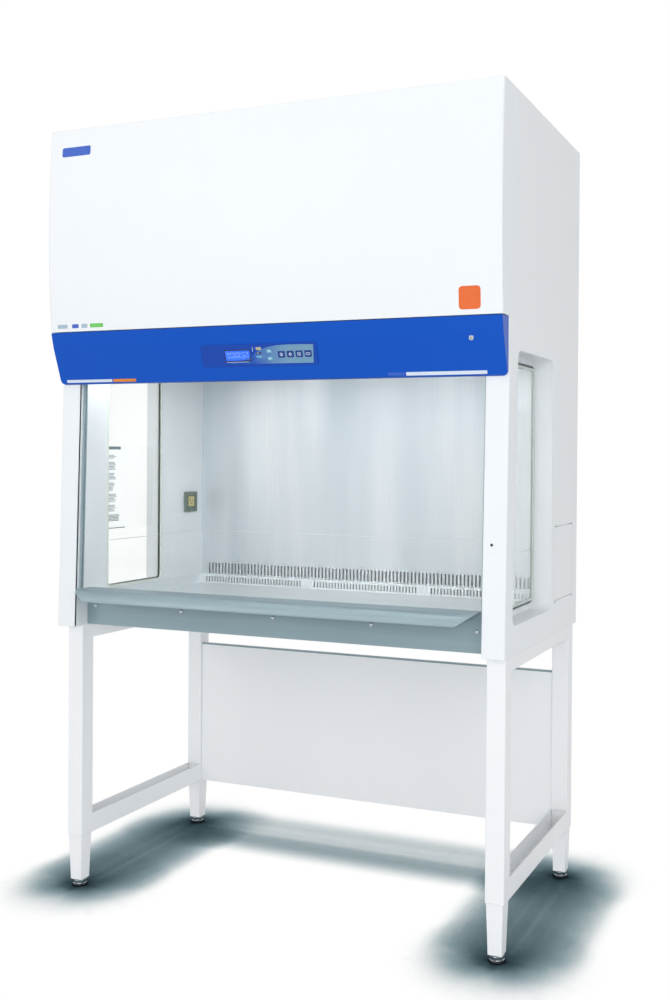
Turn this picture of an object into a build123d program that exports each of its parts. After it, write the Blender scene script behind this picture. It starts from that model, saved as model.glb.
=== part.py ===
from build123d import *
import os
from math import atan, atan2, cos, sin

# Class II biosafety cabinet on a telescoping-leg stand, in millimetres.
# Origin under the middle of the footprint, +X to the user's right, +Y to the rear, +Z up.

# Overall sizes
cabinet_width = 1340
cabinet_depth = 753
cabinet_height = 1400
stand_height = 760

# Sheet thicknesses and clearances
skin = 2.0
liner = 1.5
glass = 6.0
side_glass_thickness = 5.0
fit_gap = 0.3
seat_gap = 0.1
seam_gap = 1.5
pin_clearance = 0.05

# Side modules: setbacks run back from the crown of the hood, depths forward from the rear
# face, and heights up from the cabinet floor
module_width = 60
pillar_foot_setback = 47
pillar_rake = 0.029
pillar_height = 690
seam_foot_setback = 65
seam_lead = 11.5
module_edge_radius = 5
window_sill = 73
window_head = 759
window_foot_setback = 107
window_head_setback = 139
window_rear_depth = 283
window_radius = 25
opening_sill = 99
opening_head = 735
opening_front_setback = 193
opening_rear_depth = 290
opening_radius = 14
glass_overlap = 8
gasket_width = 7
gasket_thickness = 4
service_front_depth = 255
service_rear_depth = 50
service_sill = 91
service_head = 300
service_radius = 6

# Hood cover and control band
cover_edge_setback = 13
hood_gap = 2
cover_edge_radius = 6
band_height = 143
upper_facet = 41
facet_break_setback = 23
band_foot_setback = 58
band_lip = 3
band_inset = 2
band_wall = 3
band_corner_radius = 14
hinge_pin_radius = 1.5
hinge_knuckle_radius = 3
hinge_end_gap = 70
hinge_knuckles = 6
hinge_setback = 5
leaf_width = 24

# Control panel
panel_width = 347
panel_height = 60
panel_radius = 8
panel_thickness = 1.6
panel_centre = -9.5
panel_drop = 38
panel_margin = 9
display_width = 75
display_height = 27
display_centre = -71.5
key_width = 20
key_height = 17
key_pitch = 26
key_first = 60
key_count = 4
key_radius = 2
key_rim = 0.2
key_travel = 0.6
arrow_width = 15
arrow_height = 10
arrow_centre = 25
arrow_spread = 20
key_flange = 1
lock_end_gap = 85
lock_drop = 12
lock_radius = 5
lock_proud = 2
lock_slot = 1.2

# Work chamber
back_wall_depth = 45
chamber_head = 759
wall_seam = 238
wall_foot = 40
slot_width = 5.2
slot_pitch = 12.5
slot_height = 34
slot_sill = 95.5
slot_margin = 16
tray_rim = 93
tray_floor = 63
tray_front_setback = 208
tray_rear_depth = 61
tray_sections = 3
tray_slot_width = 4.4
tray_slot_pitch = 10.7
tray_slot_height = 18
tray_slot_drop = 8
rail_size = 20
rail_wall = 2
front_rail_setback = 253
rear_rail_depth = 90
grille_rear_setback = 193
grille_slot_pitch = 20
grille_slot_width = 6
grille_slot_length = 62
armrest_top = 109
armrest_flat_setback = 42
armrest_radius = 31
armrest_end_gap = 11.5
armrest_cutaway = 45
armrest_corner_radius = 22
apron_setback = 103
apron_foot = 2
apron_return = 18
screw_height = 56
screw_end_gap = 28.5
screw_count = 5
screw_radius = 5.5
screw_dome = 3
screw_taper = 35
screw_facets = 16
sump_height = 37
sump_floor = 4

# Sash, its guides and counterbalance
sash_setback = 21
sash_headroom = 6
sash_rest = 692
sash_travel = 582
guide_depth = 14
guide_width = 5
guide_headroom = 7
grip_height = 18
grip_depth = 12
grip_end_gap = 8.5
top_rail_height = 20
sheave_radius = 25
groove_radius = 22
sheave_width = 10
sheave_pin_radius = 4
sheave_offset = 4
sheave_drop = 30
weight_width = 36
weight_depth = 30
weight_clearance = 31
weight_foot = 112
weight_setback = 32
cable_radius = 1.5
cable_strands = 6
bracket_plate = 3

# Hood interior
filter_height = 76
filter_front_setback = 143
filter_rear_depth = 52
filter_frame = 18
media_inset = 4
plenum_height = 62
scroll_tongue_radius = 150
scroll_end_radius = 200
scroll_rise = 185
scroll_width = 260
scroll_depth = 356
scroll_wall = 2
scroll_inlet_radius = 100
impeller_radius = 130
impeller_width = 190
impeller_blades = 18
rim_facets = 36
impeller_disc = 4
blade_angle = 30
blade_depth = 24
blade_thickness = 2
hub_radius = 24
shaft_radius = 10
motor_radius = 62
motor_length = 70
exhaust_width = 600
exhaust_length = 320
exhaust_depth = 100
exhaust_centre_depth = 330
guard_inset = 10
guard_slot_width = 8
guard_slot_length = 130
guard_slot_pitch = 26
lamp_radius = 8
lamp_end_gap = 34
lamp_spacing = 18
lamp_setback = 121
lamp_drop = 14
lamp_holder_width = 12
lamp_channel_depth = 36
lamp_channel_height = 10
inlet_width = 50
inlet_height = 30
inlet_length = 28
inlet_side_gap = 190
inlet_drop = 90
inlet_pin_pitch = 7
inlet_pin_width = 2

# Electrical outlet on the left inner wall
outlet_rear_depth = 95
outlet_width = 66
outlet_sill = 304
outlet_height = 66
outlet_thickness = 9
outlet_frame = 9
outlet_insert_width = 36
outlet_insert_height = 34

# Stand
leg_size = 50
tube_wall = 2.5
leg_outer_inset = 9
leg_front_setback = 85
leg_foot = 150
top_rail_size = 40
side_rail_size = 54
inner_leg_gap = 0.4
inner_leg_foot_size = 36
inner_leg_foot = 20
inner_leg_engagement = 110
inner_leg_wall = 3
inner_leg_plug = 20
leg_extension = 150
back_panel_head = 615
back_panel_inset = 8
back_panel_return = 20
foot_radius = 16
foot_height = 18
foot_stud_radius = 5
foot_stud_engagement = 25
foot_facets = 24
foot_travel = 20

# Derived planes
rear = cabinet_depth / 2
side = cabinet_width / 2
base = stand_height
top = base + cabinet_height
chamber_side = side - module_width
inner_side = chamber_side - liner
band_foot = base + pillar_height
band_head = band_foot + band_height


def ahead(depth):
    """Y of a point that lies this far in front of the rear face."""
    return rear - depth


def behind(setback):
    """Y of a point that lies this far behind the crown of the hood."""
    return setback - rear


def above(height):
    """Z of a point this far above the cabinet floor."""
    return base + height


rake_angle = atan(pillar_rake)
armrest_half_width = inner_side - armrest_end_gap
armrest_nose_half_width = armrest_half_width - armrest_cutaway
screw_spacing = 2 * (inner_side - screw_end_gap) / (screw_count - 1)
grip_half_width = inner_side - grip_end_gap
lamp_length = 2 * (inner_side - lamp_end_gap)
hinge_length = cabinet_width - 2 * hinge_end_gap
lock_x = side - lock_end_gap
sheave_centre_x = chamber_side + sheave_offset
sheave_height = cabinet_height - sheave_drop
guide_head = sheave_height - sheave_radius - guide_headroom
sash_height = guide_head - sash_headroom - sash_rest
weight_height = sheave_height - sheave_radius - weight_clearance - weight_foot - sash_travel
key_proud = key_travel + key_rim
inner_leg_overlap = leg_extension + inner_leg_engagement
foot_stud_length = foot_travel + foot_stud_engagement


def pillar_front(height):
    """Y of the raked pillar front, this far above the cabinet floor."""
    return behind(pillar_foot_setback) + pillar_rake * height


def window_front(height):
    """Y of the slanted front edge of the side window recess."""
    lean = (window_head_setback - window_foot_setback) / (window_head - window_sill)
    return behind(window_foot_setback) + lean * (height - window_sill)


def seam_front(height):
    """Y of the hood seam on the side modules, above the control band."""
    span = cabinet_height - pillar_height - band_height
    share = (height - pillar_height - band_height) / span
    seam_head = pillar_front(cabinet_height) + sash_setback - seam_lead
    return behind(seam_foot_setback) + share * (seam_head - behind(seam_foot_setback))


os.makedirs("parts", exist_ok=True)


def save(builder, name):
    """Label a finished piece and write its file."""
    builder.part.label = name
    export_step(builder.part, f"parts/{name}.step")


def save_pair(builder, name):
    """Write a right-hand piece and its mirror image for the left side."""
    save(builder, f"{name}_right")
    with BuildPart() as opposite:
        mirror(builder.part, about=Plane.YZ)
    save(opposite, f"{name}_left")


def save_both(builder, name):
    """Write a right-hand piece and its mirror image together, as separate solids."""
    with BuildPart() as both:
        add(builder.part)
        mirror(builder.part, about=Plane.YZ)
    save(both, name)


# ---- Side modules: hollow painted panels with a deep window recess ----

with BuildSketch(Plane.YZ.offset(chamber_side)) as module_outline:
    with BuildLine():
        Polyline(
            (rear, base),
            (behind(pillar_foot_setback), base),
            (pillar_front(pillar_height), band_foot),
            (seam_front(pillar_height + band_height), band_head),
            (seam_front(cabinet_height), top),
            (rear, top),
            close=True,
        )
    make_face()

with BuildSketch(Plane.YZ.offset(chamber_side)) as window_outline:
    with BuildLine():
        Polyline(
            (ahead(window_rear_depth), above(window_sill)),
            (window_front(window_sill), above(window_sill)),
            (window_front(window_head), above(window_head)),
            (ahead(window_rear_depth), above(window_head)),
            close=True,
        )
    make_face()
    fillet(window_outline.vertices(), window_radius)

opening_depth = ahead(opening_rear_depth) - behind(opening_front_setback)
opening_height = opening_head - opening_sill
opening_mid_y = (ahead(opening_rear_depth) + behind(opening_front_setback)) / 2
opening_mid_z = above((opening_head + opening_sill) / 2)


def opening_outline(grow):
    """Side glass opening, grown by this much all round."""
    with BuildSketch() as outline:
        with Locations((opening_mid_y, opening_mid_z)):
            RectangleRounded(
                opening_depth + 2 * grow, opening_height + 2 * grow, opening_radius + grow
            )
    return outline.sketch


service_depth = service_front_depth - service_rear_depth
service_height = service_head - service_sill
service_mid_y = ahead((service_front_depth + service_rear_depth) / 2)
service_mid_z = above((service_head + service_sill) / 2)

with BuildPart() as side_shell:
    extrude(module_outline.sketch, amount=module_width)
    pillar_edges = side_shell.faces().sort_by(Axis.X)[-1].edges().filter_by(
        lambda edge: edge.center().Y < seam_front(cabinet_height) + 1
        and edge.bounding_box().size.Z > module_width
    )
    fillet(pillar_edges, module_edge_radius)
    # Cavity, open towards the chamber but for the flange that carries the glass
    with BuildSketch(Plane.YZ.offset(chamber_side)):
        add(module_outline.sketch_local)
        offset(amount=-skin, kind=Kind.INTERSECTION)
        with BuildSketch(mode=Mode.PRIVATE) as reveal:
            add(window_outline.sketch_local)
            offset(amount=skin)
        add(reveal.sketch_local, mode=Mode.SUBTRACT)
    extrude(amount=module_width - skin, mode=Mode.SUBTRACT)
    with BuildSketch(Plane.YZ.offset(chamber_side + skin)):
        add(window_outline.sketch_local)
    extrude(amount=module_width, mode=Mode.SUBTRACT)
    with BuildSketch(Plane.YZ.offset(chamber_side)):
        add(opening_outline(0))
    extrude(amount=skin, mode=Mode.SUBTRACT)
    with BuildSketch(Plane.YZ.offset(side)):
        with Locations((service_mid_y, service_mid_z)):
            RectangleRounded(service_depth, service_height, service_radius)
    extrude(amount=-skin, mode=Mode.SUBTRACT)
save_pair(side_shell, "side_shell")

# Plate over the service ports: seated in the skin, on tabs behind its edge
with BuildPart() as service_cover:
    with BuildSketch(Plane.YZ.offset(side - skin)):
        with Locations((service_mid_y, service_mid_z)):
            RectangleRounded(
                service_depth - 2 * seam_gap, service_height - 2 * seam_gap, service_radius
            )
    extrude(amount=skin)
    with BuildSketch(Plane.YZ.offset(side - skin)):
        with Locations((service_mid_y, service_mid_z)):
            Rectangle(service_depth * 0.5, service_height + 4 * service_radius)
    extrude(amount=-skin)
save_both(service_cover, "service_covers")

with BuildPart() as side_liner:
    with BuildSketch(Plane.YZ.offset(inner_side)):
        with BuildLine():
            Polyline(
                (ahead(back_wall_depth) + skin, above(apron_foot)),
                (pillar_front(apron_foot) + sash_setback - guide_depth, above(apron_foot)),
                (pillar_front(guide_head) + sash_setback - guide_depth, above(guide_head)),
                (ahead(back_wall_depth) + skin, above(guide_head)),
                close=True,
            )
        make_face()
        add(opening_outline(0), mode=Mode.SUBTRACT)
    extrude(amount=liner)
save_pair(side_liner, "side_liner")

with BuildPart() as side_window:
    with BuildSketch(Plane.YZ.offset(chamber_side + skin)):
        add(opening_outline(glass_overlap))
        with Locations((opening_mid_y, opening_mid_z)):
            Rectangle(
                opening_depth + 2 * seam_gap,
                opening_height + 4 * glass_overlap,
                mode=Mode.INTERSECT,
            )
    extrude(amount=side_glass_thickness)
save_both(side_window, "side_windows")

with BuildPart() as window_gasket:
    with BuildSketch(Plane.YZ.offset(chamber_side + skin + side_glass_thickness)):
        add(opening_outline(1))
        add(opening_outline(1 - gasket_width), mode=Mode.SUBTRACT)
    extrude(amount=gasket_thickness)
save_both(window_gasket, "window_gaskets")

# ---- Rear, top and floor ----

cavity_side = chamber_side - fit_gap
panel_fold = 20

inlet_x = side - inlet_side_gap
inlet_z = top - inlet_drop

with BuildPart() as rear_skin:
    with BuildSketch(Plane.XZ.offset(-rear)):
        with Locations((0, base + cabinet_height / 2)):
            Rectangle(2 * cavity_side, cabinet_height)
    extrude(amount=panel_fold)
    with BuildSketch(Plane.XZ.offset(-rear + skin)):
        with Locations((0, base + cabinet_height / 2)):
            Rectangle(2 * (cavity_side - skin), cabinet_height - 2 * skin)
    extrude(amount=panel_fold, mode=Mode.SUBTRACT)
    with BuildSketch(Plane.XZ.offset(-rear)):
        with Locations((inlet_x, inlet_z)):
            Rectangle(inlet_width, inlet_height)
    extrude(amount=panel_fold, mode=Mode.SUBTRACT)
save(rear_skin, "rear_skin")

with BuildPart() as power_inlet:
    with BuildSketch(Plane.XZ.offset(-rear)):
        with Locations((inlet_x, inlet_z)):
            RectangleRounded(inlet_width - fit_gap, inlet_height - fit_gap, fit_gap * 4)
    extrude(amount=inlet_length)
    with BuildSketch(Plane.XZ.offset(-rear)):
        with Locations((inlet_x, inlet_z)):
            Rectangle(inlet_width * 0.5, inlet_height * 0.6)
    extrude(amount=inlet_length * 0.6, mode=Mode.SUBTRACT)
    with BuildSketch(Plane.XZ.offset(-rear + inlet_length * 0.6)):
        with Locations((inlet_x, inlet_z)):
            with GridLocations(inlet_pin_pitch, 0, 3, 1):
                Rectangle(inlet_pin_width, 2 * inlet_pin_width)
    extrude(amount=-inlet_length * 0.45)
save(power_inlet, "power_inlet")

roof_front = seam_front(cabinet_height)
roof_rear = rear - panel_fold - fit_gap
exhaust_mid_y = ahead(exhaust_centre_depth)

with BuildPart() as roof_panel:
    with BuildSketch(Plane.XY.offset(top - skin)):
        with Locations((0, (roof_front + roof_rear) / 2)):
            Rectangle(2 * cavity_side, roof_rear - roof_front)
        with Locations((0, exhaust_mid_y)):
            Rectangle(exhaust_width, exhaust_length, mode=Mode.SUBTRACT)
    extrude(amount=skin)
    # Stiffening fold under the front edge, which carries the hood hinge
    with BuildSketch(Plane.XY.offset(top - skin)):
        with Locations((0, roof_front + skin / 2)):
            Rectangle(2 * cavity_side, skin)
    extrude(amount=-leaf_width)
save(roof_panel, "roof_panel")

guard_rows = 2
guard_columns = int((exhaust_width - 4 * guard_inset) / guard_slot_pitch)

with BuildPart() as exhaust_guard:
    with BuildSketch(Plane.XY.offset(top - 2 * skin)):
        with Locations((0, exhaust_mid_y)):
            Rectangle(exhaust_width + 2 * guard_inset, exhaust_length + 2 * guard_inset)
            with GridLocations(
                guard_slot_pitch, guard_slot_length + guard_inset, guard_columns, guard_rows
            ):
                Rectangle(guard_slot_width, guard_slot_length, mode=Mode.SUBTRACT)
    extrude(amount=skin)
save(exhaust_guard, "exhaust_guard")

sump_front = behind(apron_setback) + liner
sump_rear = ahead(back_wall_depth) - fit_gap

with BuildPart() as sump_pan:
    with BuildSketch(Plane.XY.offset(above(sump_floor))):
        with Locations((0, (sump_front + sump_rear) / 2)):
            Rectangle(2 * (inner_side - fit_gap), sump_rear - sump_front)
    extrude(amount=sump_height)
    with BuildSketch(Plane.XY.offset(above(sump_floor) + liner)):
        with Locations((0, (sump_front + sump_rear) / 2)):
            Rectangle(2 * (inner_side - fit_gap - liner), sump_rear - sump_front - 2 * liner)
    extrude(amount=sump_height, mode=Mode.SUBTRACT)
save(sump_pan, "sump_pan")

# ---- Work surface: folded stainless sections in a row, with a slotted rear upstand ----

section_span = 2 * (inner_side - fit_gap)
section_width = section_span / tray_sections - fit_gap
grille_front = behind(apron_setback) + liner
grille_rear = behind(grille_rear_setback)
tray_front = behind(tray_front_setback)
tray_rear = ahead(tray_rear_depth)


def tray_section(centre, closed_side):
    """One dished tray section; closed_side is -1, 0 or 1 for the side with an upstand."""
    with BuildPart() as section:
        with BuildSketch(Plane.YZ.offset(centre - section_width / 2)):
            with BuildLine():
                Polyline(
                    (grille_rear + fit_gap, above(tray_rim)),
                    (tray_front, above(tray_rim)),
                    (tray_front, above(tray_floor)),
                    (tray_rear, above(tray_floor)),
                    (tray_rear, above(tray_rim)),
                    (ahead(back_wall_depth) - fit_gap, above(tray_rim)),
                )
                offset(amount=liner, side=Side.RIGHT)
            make_face()
        extrude(amount=section_width)
        if closed_side:
            edge = centre + closed_side * (section_width - liner) / 2
            with BuildSketch(Plane.YZ.offset(edge - liner / 2)):
                with Locations(((tray_front + tray_rear) / 2, above((tray_floor + tray_rim) / 2))):
                    Rectangle(tray_rear - tray_front, tray_rim - tray_floor)
            extrude(amount=liner)
        slots = int((section_width - 2 * slot_margin) / tray_slot_pitch)
        with BuildSketch(Plane.XZ.offset(-tray_rear - 2 * liner)):
            with Locations((centre, above(tray_rim - tray_slot_drop - tray_slot_height / 2))):
                with GridLocations(tray_slot_pitch, 0, slots, 1):
                    Rectangle(tray_slot_width, tray_slot_height)
        extrude(amount=4 * liner, mode=Mode.SUBTRACT)
    return section


section_names = ["tray_left", "tray_middle", "tray_right"]
for index, name in enumerate(section_names):
    offset_x = (index - (tray_sections - 1) / 2) * section_span / tray_sections
    save(tray_section(offset_x, index - 1), name)

# Box rails across the chamber that carry the tray sections
rail_top = above(tray_floor) - liner
with BuildPart() as tray_rails:
    for place in (behind(front_rail_setback), ahead(rear_rail_depth)):
        with BuildSketch(Plane.YZ.offset(-inner_side)):
            with Locations((place, rail_top - rail_size / 2)):
                Rectangle(rail_size, rail_size)
                Rectangle(
                    rail_size - 2 * rail_wall, rail_size - 2 * rail_wall, mode=Mode.SUBTRACT
                )
        extrude(amount=2 * inner_side)
save(tray_rails, "tray_rails")

grille_fall = armrest_top - tray_rim

with BuildPart() as front_grille:
    with BuildSketch(Plane.YZ.offset(-inner_side + fit_gap)):
        with BuildLine():
            Polyline(
                (grille_front, above(tray_floor)),
                (grille_front, above(armrest_top)),
                (grille_rear, above(tray_rim)),
                (grille_rear, above(tray_floor) + rail_size),
            )
            offset(amount=liner, side=Side.RIGHT)
        make_face()
    extrude(amount=2 * (inner_side - fit_gap))
    grille_slots = int((section_span - 2 * slot_margin) / grille_slot_pitch)
    with BuildSketch(Plane.XY.offset(above(tray_rim) - liner)):
        with Locations((0, (grille_front + grille_rear) / 2)):
            with GridLocations(grille_slot_pitch, 0, grille_slots, 1):
                Rectangle(grille_slot_width, grille_slot_length)
    extrude(amount=2 * grille_fall, mode=Mode.SUBTRACT)
save(front_grille, "front_grille")

# Armrest: flat top rolled into a quarter-round nose, its ends cut away towards the lip
armrest_flat = behind(armrest_flat_setback)
nose = armrest_flat - armrest_radius
lip = above(armrest_top) - armrest_radius


def armrest_form(inset):
    """Armrest body, drawn in from its outer surface by this much."""
    half_width = armrest_half_width - inset
    nose_half_width = armrest_nose_half_width - inset
    with BuildPart() as form:
        with BuildSketch(Plane.YZ.offset(-half_width)):
            with BuildLine():
                CenterArc((armrest_flat, lip), armrest_radius - inset, 90, 90)
                Polyline(
                    (nose + inset, lip),
                    (behind(apron_setback) - inset, lip),
                    (behind(apron_setback) - inset, above(armrest_top) - inset),
                    (armrest_flat, above(armrest_top) - inset),
                )
            make_face()
        extrude(amount=2 * half_width)
        with BuildSketch(Plane.XZ.offset(-rear)) as ends:
            with BuildLine():
                Polyline(
                    (-half_width, above(armrest_top)),
                    (-nose_half_width, lip),
                    (nose_half_width, lip),
                    (half_width, above(armrest_top)),
                    close=True,
                )
            make_face()
            fillet(ends.vertices().group_by(Axis.Y)[0], armrest_corner_radius - inset)
        extrude(amount=cabinet_depth, mode=Mode.INTERSECT)
    return form.part


with BuildPart() as armrest:
    add(armrest_form(0))
    add(armrest_form(liner), mode=Mode.SUBTRACT)
save(armrest, "armrest")

with BuildPart() as front_apron:
    with BuildSketch(Plane.YZ.offset(-inner_side + fit_gap)):
        with BuildLine():
            Polyline(
                (behind(apron_setback), above(armrest_top) - 2 * liner),
                (behind(apron_setback), above(apron_foot)),
                (behind(apron_setback) + apron_return, above(apron_foot)),
            )
            offset(amount=liner, side=Side.LEFT)
        make_face()
    extrude(amount=2 * (inner_side - fit_gap))
save(front_apron, "front_apron")

with BuildPart() as apron_screws:
    with BuildSketch(Plane.XZ.offset(-behind(apron_setback))):
        with Locations((0, above(screw_height))):
            with GridLocations(screw_spacing, 0, screw_count, 1):
                RegularPolygon(screw_radius, screw_facets)
    extrude(amount=screw_dome, taper=screw_taper)
save(apron_screws, "apron_screws")

# ---- Chamber walls and ceiling ----

panel_side = inner_side - fit_gap
wall_front = ahead(back_wall_depth)

with BuildPart() as return_grille:
    with BuildSketch(Plane.XZ.offset(-wall_front)):
        with Locations((0, above((wall_foot + wall_seam) / 2))):
            Rectangle(2 * panel_side, wall_seam - wall_foot)
        slot_count = int((2 * panel_side - 2 * slot_margin) / slot_pitch)
        with Locations((0, above(slot_sill + slot_height / 2))):
            with GridLocations(slot_pitch, 0, slot_count, 1):
                Rectangle(slot_width, slot_height, mode=Mode.SUBTRACT)
    extrude(amount=-liner)
save(return_grille, "return_grille")

with BuildPart() as back_wall:
    with BuildSketch(Plane.XZ.offset(-wall_front - liner)):
        with Locations((0, above((wall_seam - slot_margin + chamber_head) / 2))):
            Rectangle(2 * panel_side, chamber_head - wall_seam + slot_margin)
    extrude(amount=-liner)
save(back_wall, "back_wall")

filter_front = behind(filter_front_setback)
filter_rear = ahead(filter_rear_depth)
filter_mid = (filter_front + filter_rear) / 2
filter_foot = above(chamber_head) + liner
filter_top = filter_foot + filter_height

with BuildPart() as diffuser:
    with BuildSketch(Plane.XY.offset(above(chamber_head))):
        with Locations((0, (filter_front + wall_front) / 2)):
            Rectangle(2 * panel_side, wall_front - filter_front)
    extrude(amount=liner)
save(diffuser, "diffuser")


def filter_pack(width, length, height, centre, foot):
    """Framed filter: a pleat pack set back inside a rigid frame on both faces."""
    with BuildPart() as pack:
        with BuildSketch(Plane.XY.offset(foot)):
            with Locations((0, centre)):
                Rectangle(width, length)
        extrude(amount=height)
        for level, way in ((foot, 1), (foot + height, -1)):
            with BuildSketch(Plane.XY.offset(level)):
                with Locations((0, centre)):
                    Rectangle(width - 2 * filter_frame, length - 2 * filter_frame)
            extrude(amount=way * media_inset, mode=Mode.SUBTRACT)
    return pack


supply_length = filter_rear - filter_front
save(filter_pack(2 * panel_side, supply_length, filter_height, filter_mid, filter_foot), "supply_filter")
exhaust_foot = top - 2 * skin - exhaust_depth
save(
    filter_pack(exhaust_width, exhaust_length, exhaust_depth, exhaust_mid_y, exhaust_foot),
    "exhaust_filter",
)

lamp_y = behind(lamp_setback)
lamp_z = above(chamber_head) - lamp_drop
channel_z = lamp_z + lamp_radius

with BuildPart() as work_lamps:
    with BuildSketch(Plane.YZ.offset(-panel_side)):
        with Locations((lamp_y, channel_z + lamp_channel_height / 2)):
            Rectangle(lamp_channel_depth, lamp_channel_height)
        with Locations((lamp_y, channel_z + lamp_channel_height / 2 - liner)):
            Rectangle(lamp_channel_depth - 2 * liner, lamp_channel_height, mode=Mode.SUBTRACT)
    extrude(amount=2 * panel_side)
    for way in (-1, 1):
        with BuildSketch(Plane.YZ.offset(way * lamp_length / 2)):
            with Locations((lamp_y, channel_z - lamp_radius / 2)):
                Rectangle(lamp_channel_depth - 2 * liner, 2 * lamp_channel_height + lamp_radius)
        extrude(amount=way * lamp_holder_width)
    with BuildSketch(Plane.YZ.offset(-lamp_length / 2)):
        with Locations((lamp_y, lamp_z - lamp_radius)):
            with GridLocations(lamp_spacing, 0, 2, 1):
                Circle(lamp_radius)
    extrude(amount=lamp_length)
save(work_lamps, "work_lamps")

outlet_y = ahead(outlet_rear_depth) - outlet_width / 2
outlet_z = above(outlet_sill) + outlet_height / 2

with BuildPart() as power_outlet:
    with BuildSketch(Plane.YZ.offset(-inner_side)):
        with Locations((outlet_y, outlet_z)):
            RectangleRounded(outlet_width, outlet_height, 3)
            Rectangle(
                outlet_width - 2 * outlet_frame,
                outlet_height - 2 * outlet_frame,
                mode=Mode.SUBTRACT,
            )
    extrude(amount=outlet_thickness)
    with BuildSketch(Plane.YZ.offset(-inner_side)):
        with Locations((outlet_y, outlet_z)):
            Rectangle(outlet_width - 2 * outlet_frame, outlet_height - 2 * outlet_frame)
    extrude(amount=outlet_thickness * 0.4)
    with BuildSketch(Plane.YZ.offset(-inner_side + outlet_thickness * 0.4)):
        with Locations((outlet_y, outlet_z + 2)):
            RectangleRounded(outlet_insert_width, outlet_insert_height, 2)
            with GridLocations(12, 0, 2, 1):
                Rectangle(2.5, 9, mode=Mode.SUBTRACT)
    extrude(amount=outlet_thickness * 0.4)
save(power_outlet, "power_outlet")

# ---- Air moving parts above the chamber ----

plenum_foot = filter_top + fit_gap
plenum_top = plenum_foot + plenum_height
scroll_y = ahead(scroll_depth)
scroll_z = plenum_top + scroll_rise
duct_front = scroll_y - scroll_tongue_radius * 0.2
duct_rear = scroll_y + scroll_end_radius

with BuildPart() as supply_plenum:
    with BuildSketch(Plane.XY.offset(plenum_foot)):
        with Locations((0, filter_mid)):
            Rectangle(2 * panel_side, supply_length)
    extrude(amount=plenum_height)
    with BuildSketch(Plane.XY.offset(plenum_foot)):
        with Locations((0, filter_mid)):
            Rectangle(2 * panel_side - 2 * skin, supply_length - 2 * skin)
    extrude(amount=plenum_height - skin, mode=Mode.SUBTRACT)
    with BuildSketch(Plane.XY.offset(plenum_top)):
        with Locations((0, (duct_front + duct_rear) / 2)):
            Rectangle(scroll_width - 4 * scroll_wall, duct_rear - duct_front - 4 * scroll_wall)
    extrude(amount=-skin, mode=Mode.SUBTRACT)
save(supply_plenum, "supply_plenum")



def scroll_form(inset):
    """Scroll of two half turns of growing radius and its duct, drawn in by this much."""
    mean_radius = (scroll_tongue_radius + scroll_end_radius) / 2
    tongue = (duct_front + inset, scroll_z - mean_radius * 0.92)
    lower_side = (scroll_y - scroll_tongue_radius + inset, scroll_z)
    upper_side = (scroll_y, scroll_z + mean_radius - inset)
    outlet_head = (duct_rear - inset, scroll_z)
    with BuildPart() as form:
        with BuildSketch(Plane.YZ.offset(-scroll_width / 2 + inset)):
            with BuildLine():
                front_turn = ThreePointArc(tongue, lower_side, upper_side)
                TangentArc(upper_side, outlet_head, tangent=front_turn % 1)
                Polyline(
                    outlet_head,
                    (duct_rear - inset, plenum_top + inset),
                    (duct_front + inset, plenum_top + inset),
                    tongue,
                )
            make_face()
        extrude(amount=scroll_width - 2 * inset)
    return form.part


with BuildPart() as blower_housing:
    add(scroll_form(0))
    add(scroll_form(scroll_wall), mode=Mode.SUBTRACT)
    with BuildSketch(Plane.YZ.offset(-scroll_width / 2)):
        with Locations((scroll_y, scroll_z)):
            Circle(scroll_inlet_radius)
    extrude(amount=scroll_width, mode=Mode.SUBTRACT)
    with BuildSketch(Plane.XY.offset(plenum_top)):
        with Locations((0, (duct_front + duct_rear) / 2)):
            Rectangle(scroll_width - 4 * scroll_wall, duct_rear - duct_front - 4 * scroll_wall)
    extrude(amount=2 * scroll_wall, mode=Mode.SUBTRACT)
save(blower_housing, "blower_housing")

hub_half = 15
disc_x = 20
motor_front = disc_x - hub_half - fit_gap
with BuildPart() as impeller:
    with BuildSketch(Plane.YZ.offset(-impeller_width / 2)) as rims:
        with Locations((scroll_y, scroll_z)):
            RegularPolygon(impeller_radius, rim_facets)
            RegularPolygon(impeller_radius - blade_depth, rim_facets, mode=Mode.SUBTRACT)
    extrude(amount=impeller_disc)
    with BuildSketch(Plane.YZ.offset(impeller_width / 2)):
        with Locations((scroll_y, scroll_z)):
            RegularPolygon(impeller_radius, rim_facets)
            RegularPolygon(impeller_radius - blade_depth, rim_facets, mode=Mode.SUBTRACT)
    extrude(amount=-impeller_disc)
    with BuildSketch(Plane.YZ.offset(disc_x - impeller_disc / 2)):
        with Locations((scroll_y, scroll_z)):
            RegularPolygon(impeller_radius - blade_depth / 2, rim_facets)
    extrude(amount=impeller_disc)
    with BuildSketch(Plane.YZ.offset(disc_x - hub_half)):
        with Locations((scroll_y, scroll_z)):
            Circle(hub_radius)
    extrude(amount=2 * hub_half)
    with BuildSketch(Plane.YZ.offset(-impeller_width / 2 + impeller_disc / 2)):
        with Locations((scroll_y, scroll_z)):
            with PolarLocations(impeller_radius - blade_depth / 2, impeller_blades):
                Rectangle(blade_depth * 0.95, blade_thickness, rotation=blade_angle)
    extrude(amount=impeller_width - impeller_disc)
    with BuildSketch(Plane.YZ.offset(disc_x - hub_half)):
        with Locations((scroll_y, scroll_z)):
            Circle(shaft_radius + pin_clearance)
    extrude(amount=2 * hub_half, mode=Mode.SUBTRACT)
save(impeller, "impeller")

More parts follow.
